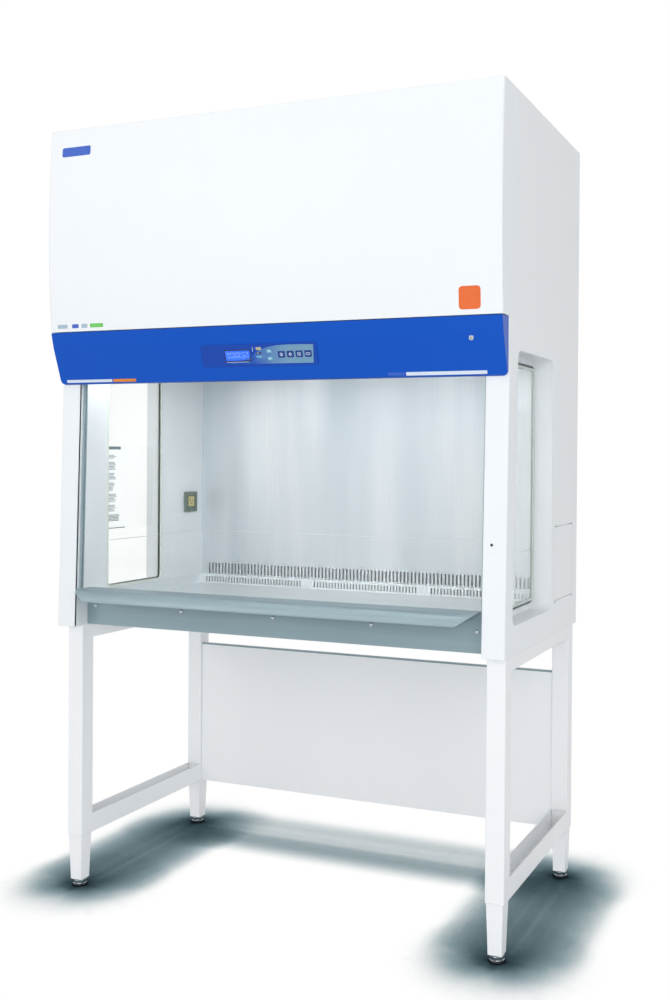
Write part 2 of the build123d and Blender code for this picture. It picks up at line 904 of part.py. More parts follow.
motor_rear = motor_front - motor_length
mount_face = -scroll_width / 2
mount_plate = 4
mount_rim = 14
with BuildPart() as blower_motor:
    with BuildSketch(Plane.YZ.offset(motor_rear)):
        with Locations((scroll_y, scroll_z)):
            Circle(motor_radius)
    extrude(amount=motor_length)
    with BuildSketch(Plane.YZ.offset(motor_front)):
        with Locations((scroll_y, scroll_z)):
            Circle(shaft_radius)
    extrude(amount=2 * hub_half + fit_gap)
    with BuildSketch(Plane.YZ.offset(mount_face)):
        with Locations((scroll_y, scroll_z)):
            Circle(scroll_inlet_radius + mount_rim)
            Circle(scroll_inlet_radius - 4, mode=Mode.SUBTRACT)
            with PolarLocations(scroll_inlet_radius * 0.6, 3):
                Rectangle(scroll_inlet_radius * 0.9, mount_rim)
            Circle(motor_radius * 0.6)
    extrude(amount=-mount_plate)
    with BuildSketch(Plane.YZ.offset(mount_face)):
        with Locations((scroll_y, scroll_z)):
            Circle(motor_radius * 0.6)
    extrude(amount=motor_rear - mount_face)
save(blower_motor, "blower_motor")

# ---- Hood: crowned cover, hinged along its top rear edge, with the control band ----

hinge_y = seam_front(cabinet_height) - hinge_setback
hinge_z = top - hinge_knuckle_radius
cover_foot = band_head + hood_gap


def cover_form(inset, reach):
    """Cover body between its crowned front and the side seam, which moves back by reach."""
    with BuildPart() as form:
        with BuildSketch(Plane.YZ.offset(-side + inset)):
            with BuildLine():
                head = (behind(cover_edge_setback) + inset, top - inset)
                foot = (behind(cover_edge_setback) + inset, cover_foot + inset)
                crown = (-rear + inset, (top + cover_foot) / 2)
                ThreePointArc(head, crown, foot)
                Polyline(
                    foot,
                    (behind(seam_foot_setback) - hood_gap + reach, cover_foot + inset),
                    (seam_front(cabinet_height) - hood_gap + reach, top - inset),
                    head,
                )
            make_face()
        extrude(amount=2 * (side - inset))
        front_edges = form.edges().filter_by(GeomType.CIRCLE)
        fillet(front_edges, cover_edge_radius - inset)
    return form.part


with BuildPart() as front_cover:
    add(cover_form(0, 0))
    add(cover_form(skin, cabinet_depth / 2), mode=Mode.SUBTRACT)
    # The top flange stops short of the hinge
    with BuildSketch(Plane.XY.offset(top)):
        with Locations((0, hinge_y)):
            Rectangle(2 * (side - skin), 2 * hinge_setback)
    extrude(amount=-2 * skin, mode=Mode.SUBTRACT)
save(front_cover, "front_cover")

knuckle_pitch = hinge_length / hinge_knuckles


def hinge_tabs(first, leaf_low, leaf_high, leaf_foot, leaf_head, carries_pin):
    """Every second knuckle of the long hinge, joined to its leaf between two Y and two Z."""
    with BuildPart() as half:
        with BuildSketch(Plane.XY.offset(leaf_foot)):
            with Locations((0, (leaf_low + leaf_high) / 2)):
                Rectangle(hinge_length, leaf_high - leaf_low)
        extrude(amount=leaf_head - leaf_foot)
        for index in range(first, hinge_knuckles, 2):
            start = -hinge_length / 2 + index * knuckle_pitch + fit_gap
            with BuildSketch(Plane.YZ.offset(start)):
                with Locations((hinge_y, hinge_z)):
                    Circle(hinge_knuckle_radius)
                near = leaf_low if leaf_low > hinge_y else leaf_high
                with Locations(((near + hinge_y) / 2, leaf_head - liner / 2)):
                    Rectangle(abs(near - hinge_y) + liner, liner)
            extrude(amount=knuckle_pitch - 2 * fit_gap)
        with BuildSketch(Plane.YZ.offset(-hinge_length / 2)):
            with Locations((hinge_y, hinge_z)):
                Circle(hinge_pin_radius + (0 if carries_pin else pin_clearance))
        extrude(amount=hinge_length, mode=Mode.ADD if carries_pin else Mode.SUBTRACT)
    return half


roof_edge = seam_front(cabinet_height)
fixed_leaf = hinge_tabs(0, roof_edge - liner, roof_edge, hinge_z - leaf_width, hinge_z, True)
save(fixed_leaf, "hinge_fixed")
cover_edge = hinge_y - hinge_setback
moving_leaf = hinge_tabs(
    1, cover_edge - leaf_width, cover_edge + fit_gap, top - skin - liner, top - skin, False
)
save(moving_leaf, "hinge_moving")

facet_y = behind(facet_break_setback)
facet_z = band_head - upper_facet
facet_foot_y = behind(band_foot_setback)
facet_foot_z = band_foot + band_lip


def band_form(inset, reach):
    """Control band with two facets and rounded lower corners, its back moved by reach."""
    with BuildPart() as form:
        with BuildSketch(Plane.YZ.offset(-side)):
            with BuildLine():
                Polyline(
                    (behind(cover_edge_setback), band_head),
                    (facet_y, facet_z),
                    (facet_foot_y, facet_foot_z),
                    (pillar_front(pillar_height) - hood_gap + reach, band_foot),
                    (behind(seam_foot_setback) - hood_gap + reach, band_head),
                    close=True,
                )
            make_face()
            if inset:
                offset(amount=-inset, kind=Kind.INTERSECTION)
        extrude(amount=2 * side)
        with BuildSketch(Plane.XZ.offset(-rear)) as front_view:
            with Locations((0, (band_foot + band_head) / 2)):
                Rectangle(2 * (side - band_inset - inset), band_height - 2 * inset)
            fillet(front_view.vertices().group_by(Axis.Y)[0], band_corner_radius - inset)
        extrude(amount=cabinet_depth, mode=Mode.INTERSECT)
    return form.part


facet_angle = atan2(facet_foot_y - facet_y, facet_z - facet_foot_z)
facet_plane = Plane(
    origin=(0, facet_y, facet_z),
    x_dir=(1, 0, 0),
    z_dir=(0, -cos(facet_angle), -sin(facet_angle)),
)
panel_y = -panel_drop
key_places = [(key_first + index * key_pitch, panel_y) for index in range(key_count)]
arrow_places = [(arrow_centre, panel_y + way * arrow_spread / 2) for way in (1, -1)]

with BuildPart() as control_band:
    add(band_form(0, 0))
    add(band_form(band_wall, 3 * band_wall), mode=Mode.SUBTRACT)
    with BuildSketch(facet_plane):
        with Locations((panel_centre, panel_y)):
            Rectangle(panel_width - 2 * panel_margin, panel_height - 2 * panel_margin)
    extrude(amount=-2 * band_wall, mode=Mode.SUBTRACT)
    # Round lock, proud of the band, with a slot for its key
    with BuildSketch(facet_plane):
        with Locations((lock_x, -lock_drop)):
            Circle(lock_radius)
            Rectangle(lock_slot, lock_radius, mode=Mode.SUBTRACT)
    extrude(amount=lock_proud)
    # Strip that carries the cover over the dark joint line
    with BuildSketch(Plane.XY.offset(band_head)):
        with Locations((0, facet_y + band_height / 8)):
            Rectangle(2 * side - band_height / 2, band_height / 8)
    extrude(amount=hood_gap)
save(control_band, "control_band")

with BuildPart() as control_panel:
    with BuildSketch(facet_plane):
        with Locations((panel_centre, panel_y)):
            RectangleRounded(panel_width, panel_height, panel_radius)
        with Locations((display_centre, panel_y)):
            Rectangle(display_width, display_height, mode=Mode.SUBTRACT)
        with Locations(*key_places):
            Rectangle(key_width, key_height, mode=Mode.SUBTRACT)
        with Locations(*arrow_places):
            Rectangle(arrow_width, arrow_height, mode=Mode.SUBTRACT)
    extrude(amount=panel_thickness)
save(control_panel, "control_panel")

with BuildPart() as display:
    with BuildSketch(facet_plane.offset(-band_wall)):
        with Locations((display_centre, panel_y)):
            Rectangle(display_width - fit_gap, display_height - fit_gap)
    extrude(amount=band_wall + panel_thickness - fit_gap)
save(display, "display")


def key_cap(place, width, height):
    """Key with a soft-cornered cap and a flange that keeps it behind the panel."""
    with BuildPart() as key:
        with BuildSketch(facet_plane.offset(-fit_gap)):
            with Locations(place):
                RectangleRounded(width - fit_gap, height - fit_gap, key_radius)
        extrude(amount=fit_gap + panel_thickness + key_proud)
        with BuildSketch(facet_plane.offset(-fit_gap)):
            with Locations(place):
                Rectangle(width + 2 * key_flange, height + 2 * key_flange)
        extrude(amount=-key_flange)
    return key


for index, place in enumerate(key_places):
    save(key_cap(place, key_width, key_height), f"key_{index + 1}")
save(key_cap(arrow_places[0], arrow_width, arrow_height), "key_up")
save(key_cap(arrow_places[1], arrow_width, arrow_height), "key_down")

# ---- Sash, guides and counterbalance, all on the rake of the pillars ----



def sash_plane(height):
    """Plane of the sash, facing the user, with its origin at this height."""
    return Plane(
        origin=(0, pillar_front(height) + sash_setback, above(height)),
        x_dir=(1, 0, 0),
        z_dir=(0, -cos(rake_angle), sin(rake_angle)),
    )


guide_slot = guide_width - 1
sash_half = inner_side - 1 - fit_gap

with BuildPart() as sash_glass:
    with BuildSketch(sash_plane(sash_rest)):
        with Locations((0, sash_height / 2)):
            Rectangle(2 * sash_half, sash_height - grip_height / 2 - top_rail_height / 2)
    extrude(amount=glass / 2, both=True)
save(sash_glass, "sash_glass")

glass_foot = sash_height / 2 - (sash_height - grip_height / 2 - top_rail_height / 2) / 2


def sash_edge(middle, height, groove_low, groove_high):
    """Strip along a sash edge, grooved over the glass."""
    with BuildPart() as strip:
        with BuildSketch(sash_plane(sash_rest)):
            with Locations((0, middle)):
                Rectangle(2 * grip_half_width, height)
        extrude(amount=grip_depth / 2, both=True)
        with BuildSketch(sash_plane(sash_rest)):
            with Locations((0, (groove_low + groove_high) / 2)):
                Rectangle(3 * grip_half_width, groove_high - groove_low)
        extrude(amount=glass / 2, both=True, mode=Mode.SUBTRACT)
    return strip


glass_head = sash_height - glass_foot
top_rail_foot = sash_height - top_rail_height
with BuildPart() as sash_rails:
    add(sash_edge(grip_height / 2, grip_height, glass_foot, 2 * grip_height).part)
    add(sash_edge(top_rail_foot + top_rail_height / 2, top_rail_height, 0, glass_head).part)
save(sash_rails, "sash_rails")

guide_length = (guide_head - armrest_top) / cos(rake_angle)
with BuildPart() as sash_guide:
    with BuildSketch(sash_plane(armrest_top)):
        with Locations((inner_side - guide_width / 2, guide_length / 2)):
            Rectangle(guide_width, guide_length)
    extrude(amount=guide_depth / 2, both=True)
    with BuildSketch(sash_plane(armrest_top)):
        with Locations((inner_side - guide_width + guide_slot / 2, guide_length / 2)):
            Rectangle(guide_slot, 2 * guide_length)
    extrude(amount=glass / 2 + fit_gap, both=True, mode=Mode.SUBTRACT)
save_both(sash_guide, "sash_guides")

sheave_y = pillar_front(sheave_height) + sash_setback
sheave_z = above(sheave_height)
cable_turn = groove_radius + fit_gap + cable_radius

with BuildPart() as cable_sheave:
    with BuildSketch(Plane.XY.offset(sheave_z)):
        with BuildLine():
            Polyline(
                (sheave_centre_x + sheave_pin_radius + pin_clearance, sheave_y - sheave_width / 2),
                (sheave_centre_x + sheave_radius, sheave_y - sheave_width / 2),
                (sheave_centre_x + groove_radius, sheave_y - cable_radius - fit_gap),
                (sheave_centre_x + groove_radius, sheave_y + cable_radius + fit_gap),
                (sheave_centre_x + sheave_radius, sheave_y + sheave_width / 2),
                (sheave_centre_x + sheave_pin_radius + pin_clearance, sheave_y + sheave_width / 2),
                close=True,
            )
        make_face()
    revolve(axis=Axis((sheave_centre_x, sheave_y, sheave_z), (0, 1, 0)))
save_pair(cable_sheave, "cable_sheave")

bracket_gap = sheave_width / 2 + 2 * fit_gap
with BuildPart() as sheave_bracket:
    for way in (-1, 1):
        plate_y = sheave_y + way * (bracket_gap + bracket_plate / 2)
        with BuildSketch(Plane.XZ.offset(-plate_y)):
            with Locations((sheave_centre_x - sheave_pin_radius, (sheave_z - 12 + top - skin) / 2)):
                Rectangle(4 * sheave_pin_radius, top - skin - sheave_z + 12)
        extrude(amount=bracket_plate / 2, both=True)
    with BuildSketch(Plane.XZ.offset(-sheave_y)):
        with Locations((sheave_centre_x, sheave_z)):
            Circle(sheave_pin_radius)
    extrude(amount=bracket_gap + bracket_plate, both=True)
save_both(sheave_bracket, "sheave_brackets")

weight_x = sheave_centre_x + cable_turn
weight_top = above(weight_foot) + weight_height * cos(rake_angle)
with BuildPart() as counterweight:
    weight_plane = Plane(
        origin=(weight_x, pillar_front(weight_foot) + weight_setback, above(weight_foot)),
        x_dir=(1, 0, 0),
        z_dir=(0, -cos(rake_angle), sin(rake_angle)),
    )
    with BuildSketch(weight_plane):
        with Locations((0, weight_height / 2)):
            RectangleRounded(weight_width, weight_height, 4)
    extrude(amount=weight_depth / 2, both=True)
save_both(counterweight, "counterweights")

with BuildPart() as sash_cable:
    with BuildLine() as cable_path:
        sash_end = above(sash_rest) + sash_height * cos(rake_angle) + seat_gap
        weight_end = weight_top + seat_gap
        inner_run = sheave_centre_x - cable_turn
        outer_run = sheave_centre_x + cable_turn
        Line((inner_run, sheave_y, sash_end), (inner_run, sheave_y, sheave_z))
        ThreePointArc(
            (inner_run, sheave_y, sheave_z),
            (sheave_centre_x, sheave_y, sheave_z + cable_turn),
            (outer_run, sheave_y, sheave_z),
        )
        Line((outer_run, sheave_y, sheave_z), (outer_run, sheave_y, weight_end))
    with BuildSketch(Plane(origin=cable_path.line @ 0, z_dir=(0, 0, 1))):
        RegularPolygon(cable_radius, cable_strands)
    sweep()
save_both(sash_cable, "sash_cables")

# ---- Stand ----

leg_outer = side - leg_outer_inset
leg_centre = leg_outer - leg_size / 2
leg_front = behind(leg_front_setback)
frame_depth = rear - leg_front
frame_height = base - leg_foot
frame_mid_y = (rear + leg_front) / 2
leg_places = [leg_front + leg_size / 2, rear - leg_size / 2]
bore = leg_size - 2 * tube_wall


def frame_loop(grow):
    """Side frame seen from the side: outer rectangle less the gap between its rails."""
    with BuildSketch() as loop:
        with Locations((frame_mid_y, (base + leg_foot) / 2)):
            Rectangle(frame_depth + 2 * grow, frame_height + 2 * grow)
        gap_foot = leg_foot + side_rail_size - grow
        gap_head = base - top_rail_size + grow
        with Locations((frame_mid_y, (gap_foot + gap_head) / 2)):
            Rectangle(frame_depth - 2 * leg_size - 2 * grow, gap_head - gap_foot, mode=Mode.SUBTRACT)
    return loop.sketch


with BuildPart() as side_frame:
    with BuildSketch(Plane.YZ.offset(leg_outer - leg_size)):
        add(frame_loop(0))
    extrude(amount=leg_size)
    upright = side_frame.edges().filter_by(Axis.Z).filter_by(lambda edge: edge.length > frame_height * 0.6)
    fillet(upright, 3)
    with BuildSketch(Plane.YZ.offset(leg_outer - leg_size + tube_wall)):
        add(frame_loop(-tube_wall))
        for place in leg_places:
            with Locations((place, leg_foot + tube_wall)):
                Rectangle(bore, 4 * tube_wall)
    extrude(amount=bore, mode=Mode.SUBTRACT)
save_pair(side_frame, "stand_frame")

with BuildPart() as rear_rail:
    with BuildSketch(Plane.YZ.offset(-leg_outer + leg_size)):
        with Locations((rear - leg_size / 2, base - top_rail_size / 2)):
            Rectangle(leg_size - 2 * tube_wall, top_rail_size)
            Rectangle(leg_size - 4 * tube_wall, top_rail_size - 2 * tube_wall, mode=Mode.SUBTRACT)
    extrude(amount=2 * (leg_outer - leg_size))
save(rear_rail, "stand_rear_rail")

panel_half = leg_outer - leg_size - fit_gap
panel_front = rear - leg_size + back_panel_inset
with BuildPart() as back_panel:
    with BuildSketch(Plane.XZ.offset(-panel_front)):
        with Locations((0, (leg_foot + back_panel_head) / 2)):
            Rectangle(2 * panel_half, back_panel_head - leg_foot)
    extrude(amount=-back_panel_return)
    with BuildSketch(Plane.XZ.offset(-panel_front - liner)):
        with Locations((0, (leg_foot + back_panel_head) / 2)):
            Rectangle(2 * (panel_half - liner), back_panel_head - leg_foot - 2 * liner)
    extrude(amount=-back_panel_return, mode=Mode.SUBTRACT)
save(back_panel, "stand_back_panel")

inner_leg = bore - 2 * inner_leg_gap
inner_leg_bore = inner_leg_foot_size - 2 * inner_leg_wall

with BuildPart() as inner_legs:
    for place in leg_places:
        with BuildSketch(Plane.XY.offset(leg_foot)):
            with Locations((leg_centre, place)):
                Rectangle(inner_leg, inner_leg)
        extrude(amount=inner_leg_overlap)
        with BuildSketch(Plane.XY.offset(leg_foot)):
            with Locations((leg_centre, place)):
                Rectangle(inner_leg, inner_leg)
        with BuildSketch(Plane.XY.offset(inner_leg_foot)):
            with Locations((leg_centre, place)):
                Rectangle(inner_leg_foot_size, inner_leg_foot_size)
        loft()
        with BuildSketch(Plane.XY.offset(inner_leg_foot + inner_leg_plug)):
            with Locations((leg_centre, place)):
                Rectangle(inner_leg_bore, inner_leg_bore)
        extrude(amount=leg_foot + inner_leg_overlap - inner_leg_foot, mode=Mode.SUBTRACT)
        with BuildSketch(Plane.XY.offset(inner_leg_foot)):
            with Locations((leg_centre, place)):
                Circle(foot_stud_radius + pin_clearance)
        extrude(amount=inner_leg_plug, mode=Mode.SUBTRACT)
    mirror(about=Plane.YZ)
save(inner_legs, "inner_legs")

for end, place in (("front", leg_places[0]), ("rear", leg_places[1])):
    with BuildPart() as levelling_foot:
        with BuildSketch(Plane.XY):
            with Locations((leg_centre, place)):
                RegularPolygon(foot_radius, foot_facets)
        extrude(amount=foot_height)
        with BuildSketch(Plane.XY.offset(foot_height)):
            with Locations((leg_centre, place)):
                Circle(foot_stud_radius)
        extrude(amount=foot_stud_length)
    save_pair(levelling_foot, f"levelling_foot_{end}")
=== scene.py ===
import math
import random

import bmesh
import bpy
from mathutils import Matrix, Vector


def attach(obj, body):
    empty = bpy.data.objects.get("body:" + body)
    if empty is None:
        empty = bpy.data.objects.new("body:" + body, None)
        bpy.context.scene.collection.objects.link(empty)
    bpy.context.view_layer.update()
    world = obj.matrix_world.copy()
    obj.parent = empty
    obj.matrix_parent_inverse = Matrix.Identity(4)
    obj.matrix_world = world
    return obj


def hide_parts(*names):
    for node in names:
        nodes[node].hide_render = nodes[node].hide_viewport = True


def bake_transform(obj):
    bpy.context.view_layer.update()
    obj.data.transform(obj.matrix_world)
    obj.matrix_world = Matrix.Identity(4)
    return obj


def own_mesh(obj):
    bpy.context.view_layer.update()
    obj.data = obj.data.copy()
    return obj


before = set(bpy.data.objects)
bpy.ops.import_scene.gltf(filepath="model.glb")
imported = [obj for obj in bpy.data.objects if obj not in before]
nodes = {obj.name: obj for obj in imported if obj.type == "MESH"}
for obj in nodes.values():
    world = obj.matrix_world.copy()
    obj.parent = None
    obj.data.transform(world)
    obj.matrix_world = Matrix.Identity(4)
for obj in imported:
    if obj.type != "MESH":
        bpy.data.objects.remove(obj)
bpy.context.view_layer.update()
random.seed(11)
print("frame loaded:", len(nodes), "nodes")

scene = bpy.context.scene
scene.view_settings.view_transform = "Standard"


def mm(*values):
    return Vector(values) / 1000


def screenColour(red, green, blue):
    # screen values 0-255 to the linear colour that shading works in
    def channel(value):
        value = value / 255
        return value / 12.92 if value <= 0.04045 else ((value + 0.055) / 1.055) ** 2.4

    return (channel(red), channel(green), channel(blue), 1)


# Node helpers


def startGroup(name, inputs, outputs):
    # an input takes its kind from its first value: four numbers are a colour, three a vector
    tree = bpy.data.node_groups.new(name, "ShaderNodeTree")
    kinds = {"colour": "NodeSocketColor", "number": "NodeSocketFloat", "vector": "NodeSocketVector"}
    for label, value in inputs.items():
        kind = {4: "colour", 3: "vector"}[len(value)] if isinstance(value, tuple) else "number"
        socket = tree.interface.new_socket(name=label, in_out="INPUT", socket_type=kinds[kind])
        socket.default_value = value
    for label, kind in outputs.items():
        tree.interface.new_socket(name=label, in_out="OUTPUT", socket_type=kinds[kind])
    return tree, tree.nodes.new("NodeGroupInput").outputs, tree.nodes.new("NodeGroupOutput").inputs


def feed(tree, inputs, values):
    # each value is a socket to link from or a plain value
    for key, value in values.items():
        if isinstance(value, bpy.types.NodeSocket):
            tree.links.new(value, inputs[key])
        else:
            inputs[key].default_value = value


def place(tree, kind, values=None, **settings):
    node = tree.nodes.new("ShaderNode" + kind)
    for key, value in settings.items():
        setattr(node, key, value)
    feed(tree, node.inputs, values or {})
    return node


def groupIn(tree, group, values):
    return place(tree, "Group", values, node_tree=group)


def noiseAt(tree, spot, scale, detail=3.0, roughness=0.55):
    # noise over object coordinates, or over a stretched copy of them
    values = {"Vector": spot, "Scale": scale, "Detail": detail, "Roughness": roughness}
    return place(tree, "TexNoise", values).outputs["Fac"]


def rangeOf(tree, source, low, high, toLow=0.0, toHigh=1.0):
    return place(tree, "MapRange", {0: source, 1: low, 2: high, 3: toLow, 4: toHigh}).outputs[0]


def mathOf(tree, operation, first, second):
    return place(tree, "Math", {0: first, 1: second}, operation=operation).outputs[0]


def mixColours(tree, share, first, second):
    node = place(tree, "Mix", {0: share}, data_type="RGBA")
    ends = [index for index, socket in enumerate(node.inputs) if socket.type == "RGBA"]
    feed(tree, node.inputs, dict(zip(ends, (first, second))))
    return [socket for socket in node.outputs if socket.type == "RGBA"][0]


def objectSpot(tree):
    return place(tree, "TexCoord").outputs["Object"]


def partOf(tree, source, axis):
    return place(tree, "SeparateXYZ", {0: source}).outputs[axis]


faceOutputs = {"Colour": "colour", "Roughness": "number", "Height": "number"}


def buildSoftEdge():
    # rounds folded edges a little and finds them for wear and a painted edge highlight
    tree, given, made = startGroup("softEdge", {"Radius": 0.0015}, {"Normal": "vector", "Edge": "number"})
    rounded = place(tree, "Bevel", {"Radius": given["Radius"]}, samples=4).outputs["Normal"]
    plain = place(tree, "NewGeometry").outputs["True Normal"]
    likeness = place(tree, "VectorMath", {0: rounded, 1: plain}, operation="DOT_PRODUCT").outputs["Value"]
    feed(tree, made, {"Edge": rangeOf(tree, likeness, 0.995, 0.8), "Normal": rounded})
    return tree


def buildSprayFinish():
    # sprayed coat: faint cloudiness, orange peel, dust on faces that look up and rubbed folds, partly a painted
    # edge highlight
    inputs = {
        "Colour": (0.8, 0.8, 0.8, 1),
        "Shade": (0.6, 0.65, 0.7, 1),
        "Dust Colour": (0.7, 0.7, 0.68, 1),
        "Rubbed Colour": (0.9, 0.91, 0.92, 1),
        "Cloud": 0.2,
        "Dust": 0.1,
        "Edge": 0.0,
    }
    tree, given, made = startGroup("sprayFinish", inputs, faceOutputs)
    spot = objectSpot(tree)
    cloud = mathOf(tree, "MULTIPLY", noiseAt(tree, spot, 2.2, 4.0), given["Cloud"])
    tinted = mixColours(tree, cloud, given["Colour"], given["Shade"])
    normal = place(tree, "NewGeometry").outputs["Normal"]
    lookingUp = rangeOf(tree, partOf(tree, normal, "Z"), 0.6, 1.0)
    settled = mathOf(tree, "MULTIPLY", lookingUp, noiseAt(tree, spot, 60.0, 6.0, 0.7))
    dust = mathOf(tree, "MULTIPLY", settled, given["Dust"])
    dusty = mixColours(tree, dust, tinted, given["Dust Colour"])
    edgeWornAndLit = mixColours(tree, mathOf(tree, "MULTIPLY", given["Edge"], 0.3), dusty, given["Rubbed Colour"])
    handled = rangeOf(tree, noiseAt(tree, spot, 7.0, 5.0, 0.6), 0.3, 0.7, 0.28, 0.38)
    roughness = mathOf(tree, "ADD", handled, dust)
    feed(tree, made, {"Colour": edgeWornAndLit, "Roughness": roughness, "Height": noiseAt(tree, spot, 420.0, 2.0)})
    return tree


def buildBrushedGrain():
    # fine scratches along one direction, broad bands that vary the roughness and paint streaks of sheen into
    # the colour, and wiped patches
    inputs = {
        "Colour": (0.5, 0.55, 0.58, 1),
        "Streak": (0.4, 0.45, 0.5, 1),
        "Grain Stretch": (4.0, 900.0, 900.0),
        "Band Stretch": (0.4, 5.0, 5.0),
        "Low Roughness": 0.22,
        "High Roughness": 0.42,
        "Painted Sheen Depth": 0.35,
        "Edge": 0.0,
    }
    tree, given, made = startGroup("brushedGrain", inputs, faceOutputs)
    spot = objectSpot(tree)
    stretched = [
        place(tree, "VectorMath", {0: spot, 1: given[label]}, operation="MULTIPLY").outputs[0]
        for label in ("Grain Stretch", "Band Stretch")
    ]
    grain = noiseAt(tree, stretched[0], 1.0, 3.0, 0.6)
    band = rangeOf(tree, noiseAt(tree, stretched[1], 1.0, 2.0, 0.5), 0.35, 0.65)
    wiped = rangeOf(tree, noiseAt(tree, spot, 3.2, 3.0, 0.5), 0.35, 0.65)
    streaked = mixColours(tree, mathOf(tree, "MULTIPLY", grain, 0.8), given["Colour"], given["Streak"])
    # painted sheen: broad bands of the streak colour stand in for streaky reflections
    sheenBanded = mixColours(tree, mathOf(tree, "MULTIPLY", band, given["Painted Sheen Depth"]), streaked, given["Streak"])
    # folds take a pale colour: wear, and a painted edge highlight on the dark steels
    edgeWornAndLit = mixColours(tree, mathOf(tree, "MULTIPLY", given["Edge"], 0.5), sheenBanded, (0.86, 0.89, 0.9, 1))
    worn = mathOf(tree, "MULTIPLY", mathOf(tree, "ADD", band, wiped), 0.5)
    sheen = rangeOf(tree, worn, 0.0, 1.0, given["Low Roughness"], given["High Roughness"])
    feed(tree, made, {"Colour": edgeWornAndLit, "Roughness": sheen, "Height": grain})
    return tree


def buildMouldedFace():
    # fine mould texture and handling marks for plastics, films and rubber
    inputs = {
        "Colour": (0.1, 0.1, 0.1, 1),
        "Scuff": (0.2, 0.2, 0.2, 1),
        "Grain Size": 700.0,
        "Low Roughness": 0.35,
        "High Roughness": 0.6,
    }
    tree, given, made = startGroup("mouldedFace", inputs, faceOutputs)
    spot = objectSpot(tree)
    texture = place(tree, "TexVoronoi", {"Vector": spot, "Scale": given["Grain Size"]}, feature="F1")
    marks = noiseAt(tree, spot, 38.0, 6.0, 0.65)
    scuffed = mixColours(tree, rangeOf(tree, marks, 0.45, 0.75, 0.0, 0.6), given["Colour"], given["Scuff"])
    sheen = rangeOf(tree, marks, 0.3, 0.7, given["Low Roughness"], given["High Roughness"])
    feed(tree, made, {"Colour": scuffed, "Roughness": sheen, "Height": texture.outputs["Distance"]})
    return tree


def buildPunchedSheet():
    # regular rows of round holes
    tree, given, made = startGroup("punchedSheet", {"Pitch": 5.0}, {"Hole": "number"})
    scale = mathOf(tree, "DIVIDE", 1000.0, given["Pitch"])
    scaled = place(tree, "VectorMath", {0: objectSpot(tree), "Scale": scale}, operation="SCALE").outputs[0]
    values = {"Vector": scaled, "Scale": 1.0, "Randomness": 0.0}
    cells = place(tree, "TexVoronoi", values, voronoi_dimensions="2D", feature="F1")
    feed(tree, made, {"Hole": rangeOf(tree, cells.outputs["Distance"], 0.32, 0.26)})
    return tree


def buildPleats():
    # folded filter paper, its pleats running across the width
    tree, given, made = startGroup("pleats", {"Pitch": 4.0}, {"Fold": "number"})
    scale = mathOf(tree, "DIVIDE", 50.0, given["Pitch"])
    values = {"Vector": objectSpot(tree), "Scale": scale, "Distortion": 0.15, "Detail": 2.0}
    wave = place(tree, "TexWave", values, bands_direction="X", wave_profile="TRI")
    feed(tree, made, {"Fold": wave.outputs["Fac"]})
    return tree


softEdge = buildSoftEdge()
sprayFinish = buildSprayFinish()
brushedGrain = buildBrushedGrain()
mouldedFace = buildMouldedFace()
punchedSheet = buildPunchedSheet()
pleats = buildPleats()


def startMaterial(name, **shader):
    material = bpy.data.materials.new(name)
    material.use_nodes = True
    tree = material.node_tree
    face = tree.nodes["Principled BSDF"].inputs
    feed(tree, face, shader)
    return material, tree, face


def finish(tree, face, group, bumpDepth, edgeRadius):
    # colour, roughness and bump of one finish group, over softened edges
    bump = place(tree, "Bump", {"Strength": 1.0, "Distance": bumpDepth, "Height": group.outputs["Height"]})
    values = {"Base Color": group.outputs["Colour"], "Roughness": group.outputs["Roughness"]}
    feed(tree, face, values | {"Normal": bump.outputs["Normal"]})
    if edgeRadius:
        edge = groupIn(tree, softEdge, {"Radius": edgeRadius}).outputs
        feed(tree, bump.inputs, {"Normal": edge["Normal"]})
        if "Edge" in group.inputs:
            feed(tree, group.inputs, {"Edge": edge["Edge"]})


def sprayedPaint(name, colours, values, edgeRadius=0.002, **shader):
    material, tree, face = startMaterial(name, **shader)
    screen = {label: screenColour(*colour) for label, colour in colours.items()}
    finish(tree, face, groupIn(tree, sprayFinish, screen | values), 0.00003, edgeRadius)
    return material


def brushedSteel(name, colour, streak, direction, low, high, edgeRadius=0.001, bands=0.35, **shader):
    material, tree, face = startMaterial(name, **shader)
    grain = {"x": (5.0, 1100.0, 1100.0), "z": (1100.0, 1100.0, 5.0), "none": (320.0, 320.0, 320.0)}
    band = {"x": (0.6, 9.0, 9.0), "z": (5.5, 5.5, 0.5), "none": (4.0, 4.0, 4.0)}
    values = {
        "Colour": screenColour(*colour),
        "Streak": screenColour(*streak),
        "Grain Stretch": grain[direction],
        "Band Stretch": band[direction],
        "Painted Sheen Depth": bands,
        "Low Roughness": low,
        "High Roughness": high,
    }
    group = groupIn(tree, brushedGrain, values)
    finish(tree, face, group, 0.00003, edgeRadius)
    return material, tree, face, group


def moulded(name, colour, scuff, grain=1200, low=0.35, high=0.5, depth=0.00004, **shader):
    material, tree, face = startMaterial(name, **shader)
    values = {"Colour": screenColour(*colour), "Scuff": screenColour(*scuff), "Grain Size": grain}
    group = groupIn(tree, mouldedFace, values | {"Low Roughness": low, "High Roughness": high})
    finish(tree, face, group, depth, 0)
    return material


def clearGlass(name, colour):
    material, tree, face = startMaterial(name, **{"Metallic": 0.0, "IOR": 1.45, "Transmission Weight": 1.0})
    values = {"Colour": colour, "Scuff": colour, "Grain Size": 4.0}
    smear = groupIn(tree, mouldedFace, values | {"Low Roughness": 0.0, "High Roughness": 0.02}).outputs
    feed(tree, face, {"Base Color": smear["Colour"], "Roughness": smear["Roughness"]})
    return material


